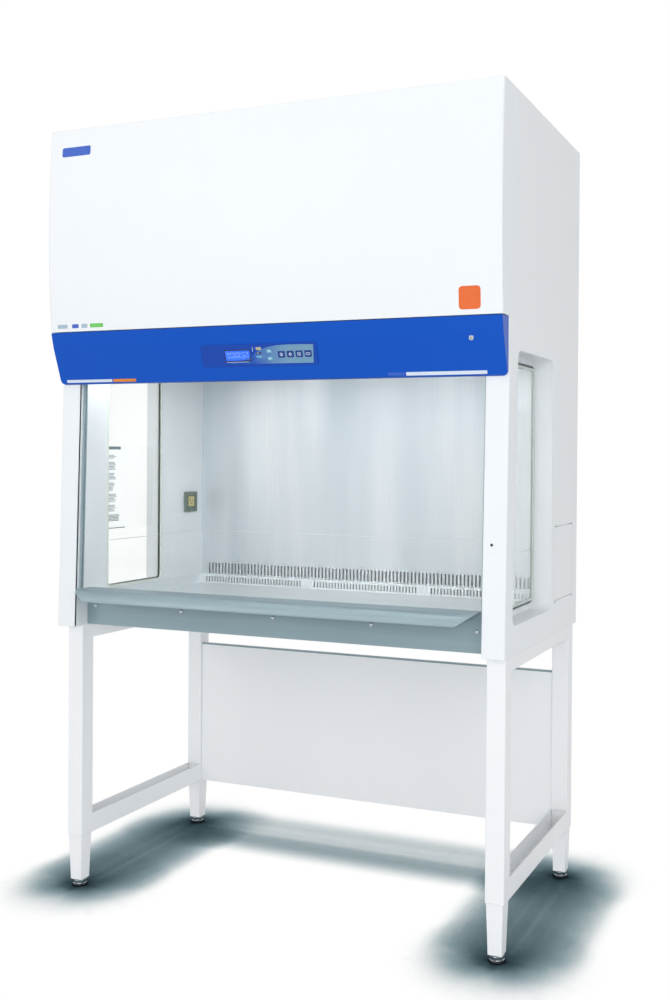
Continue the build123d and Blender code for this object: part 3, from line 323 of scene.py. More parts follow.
enamels = {
    "whiteCoat": {
        "colours": {"Colour": (246, 249, 251), "Shade": (234, 239, 242), "Dust Colour": (214, 214, 210)},
        "values": {"Cloud": 0.2, "Dust": 0.08},
    },
    "standCoat": {
        "colours": {"Colour": (251, 252, 253), "Shade": (244, 247, 249), "Dust Colour": (214, 214, 210)},
        "values": {"Cloud": 0.2, "Dust": 0.08},
    },
    "blueCoat": {
        "colours": {
            "Colour": (0, 86, 198),
            "Shade": (0, 76, 184),
            "Dust Colour": (120, 140, 180),
            "Rubbed Colour": (70, 120, 214),
        },
        "values": {"Cloud": 0.35, "Dust": 0.03},
        "Specular IOR Level": 0.2,
    },
}
# colour, streak, direction of the grain, roughness from and to, then what differs
steels = {
    # bands sets how deep the painted sheen bands run into the colour
    "chamberSteel": ((242, 244, 244), (194, 204, 209), "z", 0.3, 0.45, {"Metallic": 0.3, "bands": 0.8}),
    "linerSteel": ((246, 249, 250), (232, 237, 239), "z", 0.3, 0.45, {"Metallic": 0.15}),
    "traySteel": ((240, 244, 245), (222, 229, 232), "x", 0.28, 0.4, {"Metallic": 0.4}),
    # armrest and apron: the same stainless as the tray, darkened as painted shade
    "armrestSteelPaintedShade": ((158, 176, 181), (138, 158, 165), "x", 0.42, 0.56, {"Metallic": 0.5, "edgeRadius": 0.003}),
    "apronSteelPaintedShade": ((162, 182, 189), (126, 147, 155), "x", 0.42, 0.55, {"Metallic": 0.5, "bands": 0.7}),
    "brightSteel": ((206, 212, 216), (176, 184, 190), "none", 0.14, 0.28, {"Metallic": 1.0}),
    "sheetZinc": ((184, 190, 194), (154, 162, 168), "none", 0.35, 0.55, {"Metallic": 0.9}),
    "railAluminium": ((210, 214, 217), (188, 193, 197), "x", 0.25, 0.4, {"Metallic": 0.9}),
    "diffuserSteel": ((242, 244, 244), (194, 204, 209), "x", 0.3, 0.45, {"Metallic": 0.3, "bands": 0.8}),
}
looks = {name: sprayedPaint(name, **enamel) for name, enamel in enamels.items()}
steelParts = {name: brushedSteel(name, *values, **settings) for name, (*values, settings) in steels.items()}
looks |= {name: parts[0] for name, parts in steelParts.items()}


def punch(tree, face, group, pitch, holeShadeColour, depth):
    # rows of holes through a brushed sheet, painted dark as the shade seen through them
    hole = groupIn(tree, punchedSheet, {"Pitch": pitch}).outputs["Hole"]
    bump = face["Normal"].links[0].from_node
    holedAndShaded = mixColours(tree, hole, group.outputs["Colour"], screenColour(*holeShadeColour))
    height = mathOf(tree, "SUBTRACT", group.outputs["Height"], mathOf(tree, "MULTIPLY", hole, depth))
    feed(tree, face, {"Base Color": holedAndShaded})
    feed(tree, bump.inputs, {"Height": height})


punch(*steelParts["diffuserSteel"][1:], 7.0, (70, 78, 84), 20.0)


def pleatedPaper(name, colour, shade, pitch):
    colour, shade = screenColour(*colour), screenColour(*shade)
    material, tree, face = startMaterial(name, Roughness=0.85)
    paper = groupIn(tree, mouldedFace, {"Colour": colour, "Scuff": shade, "Grain Size": 300.0})
    fold = groupIn(tree, pleats, {"Pitch": pitch}).outputs["Fold"]
    bump = place(tree, "Bump", {"Strength": 1.0, "Distance": 0.0015, "Height": fold})
    # the pleat valleys take the shade colour: painted shade in the folds
    folded = mixColours(tree, fold, shade, paper.outputs["Colour"])
    feed(tree, face, {"Base Color": folded, "Normal": bump.outputs["Normal"]})
    return material


# colour, scuff, size of the grain, roughness from and to, then the depth of the grain where it is cast
mouldings = {
    "castMetal": ((70, 72, 76), (98, 98, 100), 260, 0.5, 0.75, 0.0003),
    "gasketRubber": ((214, 224, 220), (196, 208, 204), 900, 0.5, 0.75),
    "lipRubber": ((232, 240, 232), (216, 226, 218), 900, 0.45, 0.65),
    "guideNylon": ((158, 176, 182), (140, 158, 165), 900, 0.35, 0.55),
    "footRubber": ((46, 48, 54), (72, 74, 80), 800, 0.45, 0.7),
    "blackNylon": ((34, 36, 40), (62, 64, 70), 900, 0.35, 0.55),
    "shadeStripGrey": ((146, 166, 172), (128, 150, 156), 900, 0.45, 0.65),
    "keyRubber": ((14, 52, 132), (28, 66, 150), 1100, 0.4, 0.55),
    "printInk": ((206, 226, 246), (186, 210, 238), 1200, 0.4, 0.55),
    "darkInk": ((22, 42, 92), (34, 54, 104), 1200, 0.4, 0.55),
    "greyInk": ((112, 134, 142), (136, 156, 162), 1200, 0.5, 0.65),
    "beigeFilm": ((196, 186, 150), (180, 172, 140)),
    "tealFilm": ((116, 182, 214), (132, 194, 222)),
    "ledLens": ((168, 190, 190), (186, 204, 204), 1200, 0.1, 0.2),
    "ledLit": ((196, 222, 96), (206, 230, 110), 1200, 0.1, 0.2),
    "outletGrey": ((122, 136, 126), (104, 118, 108), 900, 0.35, 0.55),
    "ivoryPlastic": ((206, 194, 140), (188, 176, 124), 900, 0.3, 0.5),
    "paperLabel": ((226, 236, 246), (210, 222, 238), 1200, 0.4, 0.55),
    "orangeFilm": ((238, 142, 24), (226, 128, 18)),
    "tileOrangeFilm": ((236, 108, 40), (224, 96, 32)),
    "blueFilm": ((44, 92, 196), (60, 108, 206)),
    "greenFilm": ((110, 206, 92), (96, 192, 80)),
    "paleFilm": ((168, 192, 206), (182, 204, 216)),
    "sealant": ((206, 214, 218), (190, 200, 206), 500, 0.3, 0.5),
}
for name, values in mouldings.items():
    looks[name] = moulded(name, *values)


def shadedFilm(name, first, second, start, end):
    # printed film whose colour runs from first to second along x
    first, second = screenColour(*first), screenColour(*second)
    material, tree, face = startMaterial(name, **{"Specular IOR Level": 0.3})
    share = rangeOf(tree, partOf(tree, objectSpot(tree), "X"), start, end)
    values = {"Colour": mixColours(tree, share, first, second), "Scuff": second, "Grain Size": 1300.0}
    film = groupIn(tree, mouldedFace, values | {"Low Roughness": 0.3, "High Roughness": 0.45})
    finish(tree, face, film, 0.00001, 0)
    return material


def litScreen(name, colour, shade, glow):
    # backlit liquid crystal with its fine rows of cells
    colour, shade = screenColour(*colour), screenColour(*shade)
    material, tree, face = startMaterial(name, Roughness=0.18, **{"Emission Strength": glow})
    spot = objectSpot(tree)
    cells = place(tree, "TexChecker", {"Vector": spot, "Color1": colour, "Color2": shade, "Scale": 900.0})
    tinted = mixColours(tree, noiseAt(tree, spot, 40.0, 3.0), cells.outputs["Color"], shade)
    feed(tree, face, {"Base Color": tinted, "Emission Color": tinted})
    return material


workLight = {"Emission Color": (1.0, 0.99, 0.97, 1), "Emission Strength": 7.0}
dull = {"Specular IOR Level": 0.3}
looks |= {
    "filterPaper": pleatedPaper("filterPaper", (236, 234, 222), (190, 186, 172), 5.0),
    "windowGlass": clearGlass("windowGlass", (0.985, 0.995, 0.99, 1)),
    "sashGlass": clearGlass("sashGlass", (0.96, 0.985, 0.975, 1)),
    "lampWhite": moulded("lampWhite", (238, 240, 242), (222, 226, 230), 1000, 0.2, 0.35, **workLight),
    "panelFilm": moulded("panelFilm", (0, 68, 174), (6, 78, 186), 1300, 0.3, 0.45, **dull),
    "silverFilm": shadedFilm("silverFilm", (0, 78, 184), (118, 160, 190), -0.035, 0.075),
    "screenFilm": litScreen("screenFilm", (34, 104, 250), (26, 90, 240), 0.7),
}
print("materials ready")

nodeFinish = {
    "whiteCoat": "side_shell_left side_shell_right service_covers rear_skin roof_panel front_cover "
    "supply_plenum",
    "standCoat": "stand_frame_left stand_frame_right stand_rear_rail stand_back_panel inner_legs",
    "blueCoat": "control_band",
    "chamberSteel": "back_wall return_grille",
    "linerSteel": "side_liner_left side_liner_right",
    "diffuserSteel": "diffuser",
    "traySteel": "tray_left tray_middle tray_right tray_rails front_grille sump_pan",
    "armrestSteelPaintedShade": "armrest",
    "apronSteelPaintedShade": "front_apron",
    "brightSteel": "apron_screws sash_cables",
    "sheetZinc": "exhaust_guard hinge_fixed hinge_moving blower_housing sheave_brackets",
    "railAluminium": "impeller sash_rails",
    "castMetal": "counterweights blower_motor",
    "gasketRubber": "window_gaskets",
    "footRubber": "levelling_foot_front_left levelling_foot_front_right "
    "levelling_foot_rear_left levelling_foot_rear_right",
    "guideNylon": "sash_guides",
    "blackNylon": "cable_sheave_left cable_sheave_right power_inlet",
    "windowGlass": "side_windows",
    "sashGlass": "sash_glass",
    "filterPaper": "supply_filter exhaust_filter",
    "screenFilm": "display",
    "keyRubber": "key_1 key_2 key_3 key_4",
    "tealFilm": "key_up key_down",
    "panelFilm": "control_panel",
    "lampWhite": "work_lamps",
    "outletGrey": "power_outlet",
}
for look, names in nodeFinish.items():
    for name in names.split():
        nodes[name].data.materials.clear()
        nodes[name].data.materials.append(looks[look])

# Shapes that several pieces use


def meshPiece(name, bm, look, body, slotName):
    bmesh.ops.recalc_face_normals(bm, faces=bm.faces)
    mesh = bpy.data.meshes.new(name)
    bm.to_mesh(mesh)
    bm.free()
    mesh.materials.append(looks[look])
    piece = bpy.data.objects.new(name, mesh)
    scene.collection.objects.link(piece)
    if body:
        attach(piece, body)
    return piece


def smoothTurned(piece, angle=35):
    # soft shading on the round faces, crisp at the corners
    mesh = piece.data
    mesh.shade_smooth()
    mesh.set_sharp_from_angle(angle=math.radians(angle))


def roundedOutline(width, height, radius, centre=(0, 0), steps=4):
    points = []
    for cornerX, cornerY, start in ((1, 1, 0), (-1, 1, 90), (-1, -1, 180), (1, -1, 270)):
        for index in range(steps + 1):
            angle = math.radians(start + 90 * index / steps)
            x = cornerX * (width / 2 - radius) + radius * math.cos(angle)
            y = cornerY * (height / 2 - radius) + radius * math.sin(angle)
            points.append((centre[0] + x, centre[1] + y))
    return points


def bridge(bm, rings):
    # faces between rings of vertices, where a ring of one is a tip; open ends are closed
    for lower, upper in zip(rings, rings[1:]):
        turns = max(len(lower), len(upper))
        for index in range(turns):
            after = (index + 1) % turns
            if len(lower) == 1:
                bm.faces.new((lower[0], upper[after], upper[index]))
            elif len(upper) == 1:
                bm.faces.new((lower[index], lower[after], upper[0]))
            else:
                bm.faces.new((lower[index], lower[after], upper[after], upper[index]))
    for end in (rings[0][::-1], rings[-1]):
        if len(end) > 1:
            bm.faces.new(end)


def addSlab(bm, outline, seat, thickness, crown=0.0):
    # plate on a seat, in mm: outline in its plane, rising along its normal; crown draws in the top edge
    centreX = sum(x for x, y in outline) / len(outline)
    centreY = sum(y for x, y in outline) / len(outline)
    levels = [(0.0, 0.0), (0.55, 0.0), (1.0, crown)] if crown else [(0.0, 0.0), (1.0, 0.0)]
    rings = []
    for share, inset in levels:
        ring = []
        for x, y in outline:
            pull = 1 - inset / (math.hypot(x - centreX, y - centreY) or 1)
            spot = mm(centreX + (x - centreX) * pull, centreY + (y - centreY) * pull, thickness * share)
            ring.append(bm.verts.new(seat @ spot))
        rings.append(ring)
    bridge(bm, rings)


def addPlate(bm, outlines, seat, thickness):
    # flat plate with holes: the first outline is its edge and the others are the holes
    edges = []
    for outline in outlines:
        ring = [bm.verts.new(seat @ mm(x, y, 0)) for x, y in outline]
        edges += [bm.edges.new((ring[index], ring[(index + 1) % len(ring)])) for index in range(len(ring))]
    made = bmesh.ops.triangle_fill(bm, edges=edges, use_beauty=True)
    faces = [item for item in made["geom"] if isinstance(item, bmesh.types.BMFace)]
    grown = bmesh.ops.extrude_face_region(bm, geom=faces, use_keep_orig=True)
    moved = [item for item in grown["geom"] if isinstance(item, bmesh.types.BMVert)]
    lift = seat.to_3x3() @ mm(0, 0, thickness)
    bmesh.ops.translate(bm, verts=moved, vec=lift)


def ringReach(form, angle):
    # how far a ring of this form reaches at an angle, as a share of its radius
    if form == "hex":
        folded = (angle + math.pi / 6) % (math.pi / 3) - math.pi / 6
        return math.cos(math.pi / 6) / math.cos(folded)
    if form == "cross":
        return 0.34 + 0.66 * abs(math.cos(2 * angle)) ** 3
    return 1.0


def addTurned(bm, rings, seat, turns=24):
    # closed turned form: rings of (radius, height, form) from axis to axis, in mm
    made = []
    for radius, height, *form in rings:
        if not radius:
            made.append([bm.verts.new(seat @ mm(0, 0, height))])
            continue
        ring = []
        for index in range(turns):
            angle = 2 * math.pi * index / turns
            reach = radius * ringReach(form[0] if form else "round", angle)
            ring.append(bm.verts.new(seat @ mm(reach * math.cos(angle), reach * math.sin(angle), height)))
        made.append(ring)
    bridge(bm, made)


def addScrew(bm, seat, radius, rise, drive="cross", turns=24):
    # domed head with a recess for its driver
    recess = 0.52 * radius
    rings = [(0, 0), (radius, 0), (radius, 0.3 * rise), (0.93 * radius, 0.62 * rise)]
    rings += [(0.78 * radius, 0.88 * rise), (0.6 * radius, rise), (recess, rise, drive)]
    rings += [(recess * 0.9, 0.35 * rise, drive), (0, 0.3 * rise)]
    addTurned(bm, rings, seat, turns)


def seatAt(origin, across, normal):
    # matrix with x along across and z along normal, at an origin in mm
    normal = Vector(normal).normalized()
    across = Vector(across).normalized()
    rotation = Matrix((across, normal.cross(across), normal)).transposed().to_4x4()
    return Matrix.Translation(mm(*origin)) @ rotation


def slabPiece(name, look, ride, outline, seat, thickness, crown=0.0):
    # one slab as a piece; ride is its body and its slot
    bm = bmesh.new()
    addSlab(bm, outline, seat, thickness, crown)
    return meshPiece(name, bm, look, *ride)


def turnedPiece(name, look, ride, rings, seat, turns):
    bm = bmesh.new()
    addTurned(bm, rings, seat, turns)
    piece = meshPiece(name, bm, look, *ride)
    smoothTurned(piece)
    return piece


def wallSeat(side, x, y, z):
    # seat on a side wall of the chamber, its normal towards the middle
    return seatAt((side * x, y, z), (0, -side, 0), (-side, 0, 0))


# Camera and light

cameraView = {
    "place": (1.48498, -2.92739, 1.25142),
    "turn": 0.3879,
    "tilt": -0.0088,
    "roll": 0.0076,
    "focalPixels": 1124.84,
    "centre": (411.69, 466.68),
    "frame": (670, 1000),
}


def buildCamera(view):
    data = bpy.data.cameras.new("roomCamera")
    data.sensor_fit = "VERTICAL"
    data.sensor_height = 36
    width, height = view["frame"]
    data.lens = view["focalPixels"] / height * data.sensor_height
    data.shift_x = (width / 2 - view["centre"][0]) / height
    data.shift_y = (view["centre"][1] - height / 2) / height
    data.clip_start, data.clip_end = 0.05, 60
    turn, tilt, roll = view["turn"], view["tilt"], view["roll"]
    forward = Vector((-math.sin(turn) * math.cos(tilt), math.cos(turn) * math.cos(tilt), math.sin(tilt)))
    right = Vector((math.cos(turn), math.sin(turn), 0))
    up = right.cross(forward)
    rolledRight = right * math.cos(roll) + up * math.sin(roll)
    rolledUp = up * math.cos(roll) - right * math.sin(roll)
    rotation = Matrix((rolledRight, rolledUp, -forward)).transposed().to_4x4()
    camera = bpy.data.objects.new("roomCamera", data)
    camera.matrix_world = Matrix.Translation(view["place"]) @ rotation
    scene.collection.objects.link(camera)
    scene.camera = camera


buildCamera(cameraView)

# place, aim, size, power, colour
lampSet = {
    "frontLeft": ((-3.0, -4.2, 2.7), (0, 0, 1.2), 3.2, 36, (1, 0.99, 0.98)),
    "front": ((0.9, -4.6, 1.0), (0.2, 0, 0.7), 2.6, 20, (1, 1, 1)),
    "frontRight": ((3.0, -3.7, 2.1), (0.4, 0, 1.2), 2.4, 44, (0.96, 0.98, 1)),
    "overhead": ((0, -0.6, 4.4), (0, 0, 1), 2.6, 26, (1, 1, 1)),
}
for name, (spot, aim, size, power, colour) in lampSet.items():
    light = bpy.data.lights.new(name, "AREA")
    light.shape = "DISK"
    light.size, light.energy, light.color = size, power, colour
    holder = bpy.data.objects.new(name, light)
    rotation = (Vector(aim) - Vector(spot)).to_track_quat("-Z", "Y").to_matrix().to_4x4()
    holder.matrix_world = Matrix.Translation(spot) @ rotation
    scene.collection.objects.link(holder)


def seenByCamera(tree, plain, seen, output):
    # seen where a camera, glossy or transmitted ray meets it, plain light otherwise
    path = place(tree, "LightPath").outputs
    through = mathOf(tree, "MAXIMUM", path["Is Camera Ray"], path["Is Transmission Ray"])
    either = mathOf(tree, "MAXIMUM", through, path["Is Glossy Ray"])
    mix = place(tree, "MixShader", {0: either, 1: plain, 2: seen})
    feed(tree, output.inputs, {"Surface": mix.outputs[0]})


roomTones = {
    "air": (0.95, 0.965, 0.985, 1),
    "airStrength": 0.56,
    "ground": (0.86, 0.87, 0.88, 1),
    "shadowReach": 0.26,
    "shadow": [
        (0.0, (6, 10, 12)),
        (0.56, (14, 22, 26)),
        (0.82, (64, 84, 90)),
        (0.92, (136, 158, 164)),
        (0.982, (255, 255, 255)),
    ],
    "floor": {"reach": 14, "level": -0.0005},
}


def buildRoom(tones):
    world = bpy.data.worlds.new("studioAir")
    scene.world = world
    world.use_nodes = True
    tree = world.node_tree
    tree.nodes.clear()
    air = place(tree, "Background", {"Color": tones["air"], "Strength": tones["airStrength"]})
    white = place(tree, "Background", {"Color": (1, 1, 1, 1), "Strength": 1.0})
    output = place(tree, "OutputWorld")
    seenByCamera(tree, air.outputs[0], white.outputs[0], output)
    # white floor that keeps the soft contact shadows of the feet and rails
    material = bpy.data.materials.new("paleFloor")
    material.use_nodes = True
    tree = material.node_tree
    tree.nodes.clear()
    ground = place(tree, "BsdfDiffuse", {"Color": tones["ground"]})
    near = place(tree, "AmbientOcclusion", {"Distance": tones["shadowReach"]}, samples=48)
    shade = place(tree, "ValToRGB")
    stops = shade.color_ramp.elements
    while len(stops) < len(tones["shadow"]):
        stops.new(1)
    for stop, (position, colour) in zip(stops, tones["shadow"]):
        stop.position, stop.color = position, screenColour(*colour)
    feed(tree, shade.inputs, {0: near.outputs["AO"]})
    seen = place(tree, "Emission", {"Color": shade.outputs["Color"], "Strength": 1.0})
    output = place(tree, "OutputMaterial")
    seenByCamera(tree, ground.outputs[0], seen.outputs[0], output)
    mesh = bpy.data.meshes.new("studioFloor")
    reach, level = tones["floor"]["reach"], tones["floor"]["level"]
    corners = [(-reach, -reach, level), (reach, -reach, level), (reach, reach, level), (-reach, reach, level)]
    mesh.from_pydata(corners, [], [(0, 1, 2, 3)])
    mesh.materials.append(material)
    floor = bpy.data.objects.new("studioFloor", mesh)
    scene.collection.objects.link(floor)


buildRoom(roomTones)
print("camera, light and floor ready")

# Marks and controls on the hood

facet = {
    "foot": (-318.5, 1453.0),
    "break": (-353.5, 1552.0),
    "panelDrop": 38.0,
    "panelLift": 1.6,
    "keyLift": 2.4,
}
facetTilt = math.atan2(facet["foot"][0] - facet["break"][0], facet["break"][1] - facet["foot"][1])
facetNormal = (0, -math.cos(facetTilt), -math.sin(facetTilt))


def onFacet(x, drop, lift=0.0):
    # seat on the lower facet of the band, measured down from its upper edge
    y = facet["break"][0] + drop * math.sin(facetTilt) - lift * math.cos(facetTilt)
    z = facet["break"][1] - drop * math.cos(facetTilt) - lift * math.sin(facetTilt)
    return seatAt((x, y, z), (1, 0, 0), facetNormal)


crown = {"edge": -363.5, "front": -376.5, "foot": 1595.0, "head": 2160.0}


def coverSeat(x, z, lift=0.0):
    # seat on the crowned front of the cover
    half = (crown["head"] - crown["foot"]) / 2
    rise = crown["edge"] - crown["front"]
    radius = (half * half + rise * rise) / (2 * rise)
    height = z - (crown["head"] + crown["foot"]) / 2
    y = crown["front"] + radius - math.sqrt(radius * radius - height * height)
    slope = height / radius
    return seatAt((x, y - lift, z), (1, 0, 0), (0, -math.cos(slope), math.sin(slope)))


panelSlot = ("hood", "blue_panel")

# x, drop, width, height
bandLabels = {
    "noticeLeft": (-568, 98.5, 156, 8, "paperLabel"),
    "noticeOrange": (-448, 98.5, 76, 8, "orangeFilm"),
    "noticeBlue": (376, 98.5, 46, 8, "blueFilm"),
    "noticeRight": (510, 98.5, 214, 9, "paperLabel"),
}
for name, (x, drop, width, height, material) in bandLabels.items():
    slabPiece(name, material, panelSlot, roundedOutline(width, height, 1.5), onFacet(x, drop), 0.3)

# x, z, width, height, radius, thickness, crown
coverTiles = {
    "chipPale": (-627, 1610, 34, 11, 2.5, 0.3, 0, "paleFilm"),
    "chipBlue": (-583, 1610, 22, 11, 2.5, 0.3, 0, "blueFilm"),
    "chipGrey": (-552, 1610, 20, 11, 2.5, 0.3, 0, "paleFilm"),
    "chipGreen": (-511, 1610, 44, 11, 2.5, 0.3, 0, "greenFilm"),
    "tileBlue": (-579, 2097, 96, 26, 5, 0.35, 0.4, "blueFilm"),
    "tileOrange": (586, 1636, 56, 56, 9, 0.35, 0.4, "tileOrangeFilm"),
}
for name, (x, z, width, height, radius, thickness, inset, material) in coverTiles.items():
    outline = roundedOutline(width, height, radius)
    slabPiece(name, material, panelSlot, outline, coverSeat(x, z), thickness, inset)

silverArea = {
    "lower": [(-104, 20.6), (-60, 22.4), (0, 23.4), (80, 24.0), (150, 24.4)],
    "upper": [(156, -24.2), (120, -25.4), (80, -25.6), (50, -24.8), (20, -21.0), (-8, -12.0)],
    "end": [(-30, 2.0), (-56, 14.0)],
    "keys": [(60, 0), (86, 0), (112, 0), (138, 0)],
    "keySize": (20.6, 17.6),
    "arrows": [(25, -10), (25, 10)],
    "arrowSize": (15.6, 10.6),
    "corner": 2.0,
    "thickness": 0.12,
}


def panelSeat(x, drop=0.0, lift=0.0):
    # seat on the face of the control panel, measured from its middle
    return onFacet(x, facet["panelDrop"] + drop, facet["panelLift"] + lift)


bm = bmesh.new()
silverPlate = [[(x, -drop) for x, drop in silverArea["lower"] + silverArea["upper"] + silverArea["end"]]]
for kind in ("key", "arrow"):
    for x, drop in silverArea[kind + "s"]:
        silverPlate.append(roundedOutline(*silverArea[kind + "Size"], silverArea["corner"], (x, -drop), 3))
addPlate(bm, silverPlate, panelSeat(0), silverArea["thickness"])
meshPiece("panelSilver", bm, "silverFilm", *panelSlot)

# x, drop from the panel's middle, width, height, radius
panelPrint = {
    "printBeige": (-6, -17.5, 16, 7.5, 1.5, "beigeFilm"),
    "printNavy": (-7, -5.5, 16, 5.5, 1.2, "darkInk"),
    "printNavyMark": (-9, -5.5, 7, 1.6, 0.6, "printInk"),
    "printTeal": (-7, 4.5, 16, 5.0, 1.2, "tealFilm"),
    "printRule": (-75, 17.6, 66, 1.1, 0.4, "printInk"),
    "printEdge": (-24, -16.0, 1.6, 12, 0.6, "printInk"),
}
for name, (x, drop, width, height, radius, material) in panelPrint.items():
    seat = panelSeat(x, drop, 0.3 if name == "printNavyMark" else 0.05)
    slabPiece(name, material, panelSlot, roundedOutline(width, height, radius), seat, 0.2)

indicators = {"xs": (60, 86, 112, 138), "drop": -14.5, "radius": 1.5, "rise": 0.9, "lit": 3}
radius, rise = indicators["radius"], indicators["rise"]
dome = [(0, 0), (radius, 0), (radius, 0.3 * rise), (0.82 * radius, 0.68 * rise)]
dome += [(0.45 * radius, 0.94 * rise), (0, rise)]
for index, x in enumerate(indicators["xs"]):
    seat = panelSeat(x, indicators["drop"], silverArea["thickness"])
    material = "ledLit" if index == indicators["lit"] else "ledLens"
    turnedPiece(f"indicator_{index + 1}", material, panelSlot, dome, seat, 12)

displayFrame = {"centre": -71.5, "outer": (81, 33), "inner": (74.2, 26.2), "rise": 0.35, "face": 1.3}
bm = bmesh.new()
frameOutlines = [roundedOutline(*displayFrame["outer"], 2.5), roundedOutline(*displayFrame["inner"], 1.2)]
addPlate(bm, frameOutlines, panelSeat(displayFrame["centre"]), displayFrame["rise"])
meshPiece("displayFrame", bm, "darkInk", *panelSlot)

# rows of unlit segment bars in the display
segments = {
    "columns": 13,
    "pitch": 5.1,
    "rows": (-6.5, 2.5),
    "steps": (-1.25, 1.25, 3.75),
    "width": 3.2,
    "height": 0.9,
    "shown": 0.72,
    "lengths": (0.6, 1.0),
}
bm = bmesh.new()
for row in segments["rows"]:
    for column in range(segments["columns"]):
        x = displayFrame["centre"] + (column - (segments["columns"] - 1) / 2) * segments["pitch"]
        for step in segments["steps"]:
            if random.random() < segments["shown"]:
                seat = onFacet(x, facet["panelDrop"] + row + step, displayFrame["face"])
                width = segments["width"] * random.choice(segments["lengths"])
                addSlab(bm, roundedOutline(width, segments["height"], 0.3), seat, 0.08)
meshPiece("displayMarks", bm, "printInk", "hood", "display_blue")


def keyShape(kind):
    # outlines of the plain symbol on a key, in mm
    if kind == "ring":
        return [roundedOutline(9, 9, 4.4), roundedOutline(5.4, 5.4, 2.6)]
    if kind == "diamond":
        return [[(0, 5), (-5, 0), (0, -5), (5, 0)], [(0, 2.4), (-2.4, 0), (0, -2.4), (2.4, 0)]]
    if kind == "square":
        return [roundedOutline(9, 8.4, 1.8), roundedOutline(6, 5.4, 1.0)]
    return [roundedOutline(12, 6.4, 1.2), roundedOutline(9.4, 3.8, 0.6)]


keyMarks = {"key_1": (60, "ring"), "key_2": (86, "diamond"), "key_3": (112, "square"), "key_4": (138, "bar")}
for body, (x, kind) in keyMarks.items():
    bm = bmesh.new()
    seat = onFacet(x, facet["panelDrop"], facet["keyLift"])
    addPlate(bm, keyShape(kind), seat, 0.12)
    dot = 2.4 if kind in ("ring", "square") else 1.6
    addTurned(bm, [(0, 0), (dot / 2, 0), (dot / 2, 0.12), (0, 0.12)], seat, 12)
    meshPiece(f"mark_{body}", bm, "printInk", body, "key_blue")

arrowMarks = {"key_up": (25, -10, 1), "key_down": (25, 10, -1)}
for body, (x, drop, way) in arrowMarks.items():
    arrow = [(4.6, -2.0 * way), (0, 3.0 * way), (-4.6, -2.0 * way), (0, -0.6 * way)]
    seat = onFacet(x, facet["panelDrop"] + drop, facet["keyLift"])
    slabPiece(f"mark_{body}", "paperLabel", (body, "key_blue"), arrow, seat, 0.12)

# turned face over the round lock, with a black slab in its key slot as painted shade
lockFace = {"x": 585, "drop": 12, "radius": 6.4, "rise": 2.5, "slot": (1.3, 6.6)}
radius, rise = lockFace["radius"], lockFace["rise"]
lockRings = [(0, 0), (radius, 0), (radius, 0.5), (0.86 * radius, 0.9), (0.86 * radius, rise - 0.3)]
lockRings += [(0.8 * radius, rise), (0.66 * radius, rise), (0.64 * radius, rise - 0.25)]
lockRings += [(0.6 * radius, rise - 0.25), (0.58 * radius, rise), (0, rise)]
lockSeat = onFacet(lockFace["x"], lockFace["drop"])
turnedPiece("lockFace", "brightSteel", ("hood", "bright_steel"), lockRings, lockSeat, 32)
slotSeat = onFacet(lockFace["x"], lockFace["drop"], rise - 0.05)
slot = roundedOutline(*lockFace["slot"], 0.5)
slabPiece("lockSlotShade", "blackNylon", ("hood", "black_nylon"), slot, slotSeat, 0.12)
print("hood marks and controls ready")

# Screws

apronScrews = {"xs": (-580, -290, 0, 290, 580), "y": -273.5, "z": 816, "radius": 5.5, "rise": 3.0}
coverScrews = {"x": 670.0, "ys": (131, 317), "zs": (848, 1063), "radius": 3.4, "rise": 1.2}
rearScrews = {"x": 598, "y": 376.5, "zs": (786, 1054, 1322, 1590, 1858, 2134), "radius": 4.2, "rise": 1.8}
rearRows = {"xs": (-359, -120, 120, 359), "y": 376.5, "zs": (786, 2134), "radius": 4.2, "rise": 1.8}
roofScrews = {"x": 598, "ys": (-262, -108, 46, 200, 344), "z": 2160.0, "radius": 4.2, "rise": 1.8}


def addScrews(bm, spots, across, normal, screw, drive="cross"):
    for spot in spots:
        addScrew(bm, seatAt(spot, across, normal), screw["radius"], screw["rise"], drive)


bm = bmesh.new()
spots = [(x, apronScrews["y"], apronScrews["z"]) for x in apronScrews["xs"]]
addScrews(bm, spots, (1, 0, 0), (0, -1, 0), apronScrews, "hex")
screws = meshPiece("apronScrewHeads", bm, "brightSteel", "cabinet", "bright_steel")
smoothTurned(screws)
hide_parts("apron_screws")

bm = bmesh.new()
for side in (-1, 1):
    spots = [(side * coverScrews["x"], y, z) for y in coverScrews["ys"] for z in coverScrews["zs"]]
    addScrews(bm, spots, (0, side, 0), (side, 0, 0), coverScrews)
    spots = [(side * rearScrews["x"], rearScrews["y"], z) for z in rearScrews["zs"]]
    addScrews(bm, spots, (-1, 0, 0), (0, 1, 0), rearScrews)
    spots = [(side * roofScrews["x"], y, roofScrews["z"]) for y in roofScrews["ys"]]
    addScrews(bm, spots, (1, 0, 0), (0, 0, 1), roofScrews)
spots = [(x, rearRows["y"], z) for x in rearRows["xs"] for z in rearRows["zs"]]
addScrews(bm, spots, (-1, 0, 0), (0, 1, 0), rearRows)
smoothTurned(meshPiece("panelScrews", bm, "brightSteel", "cabinet", "bright_steel"))
print("screws ready")

# Chamber details

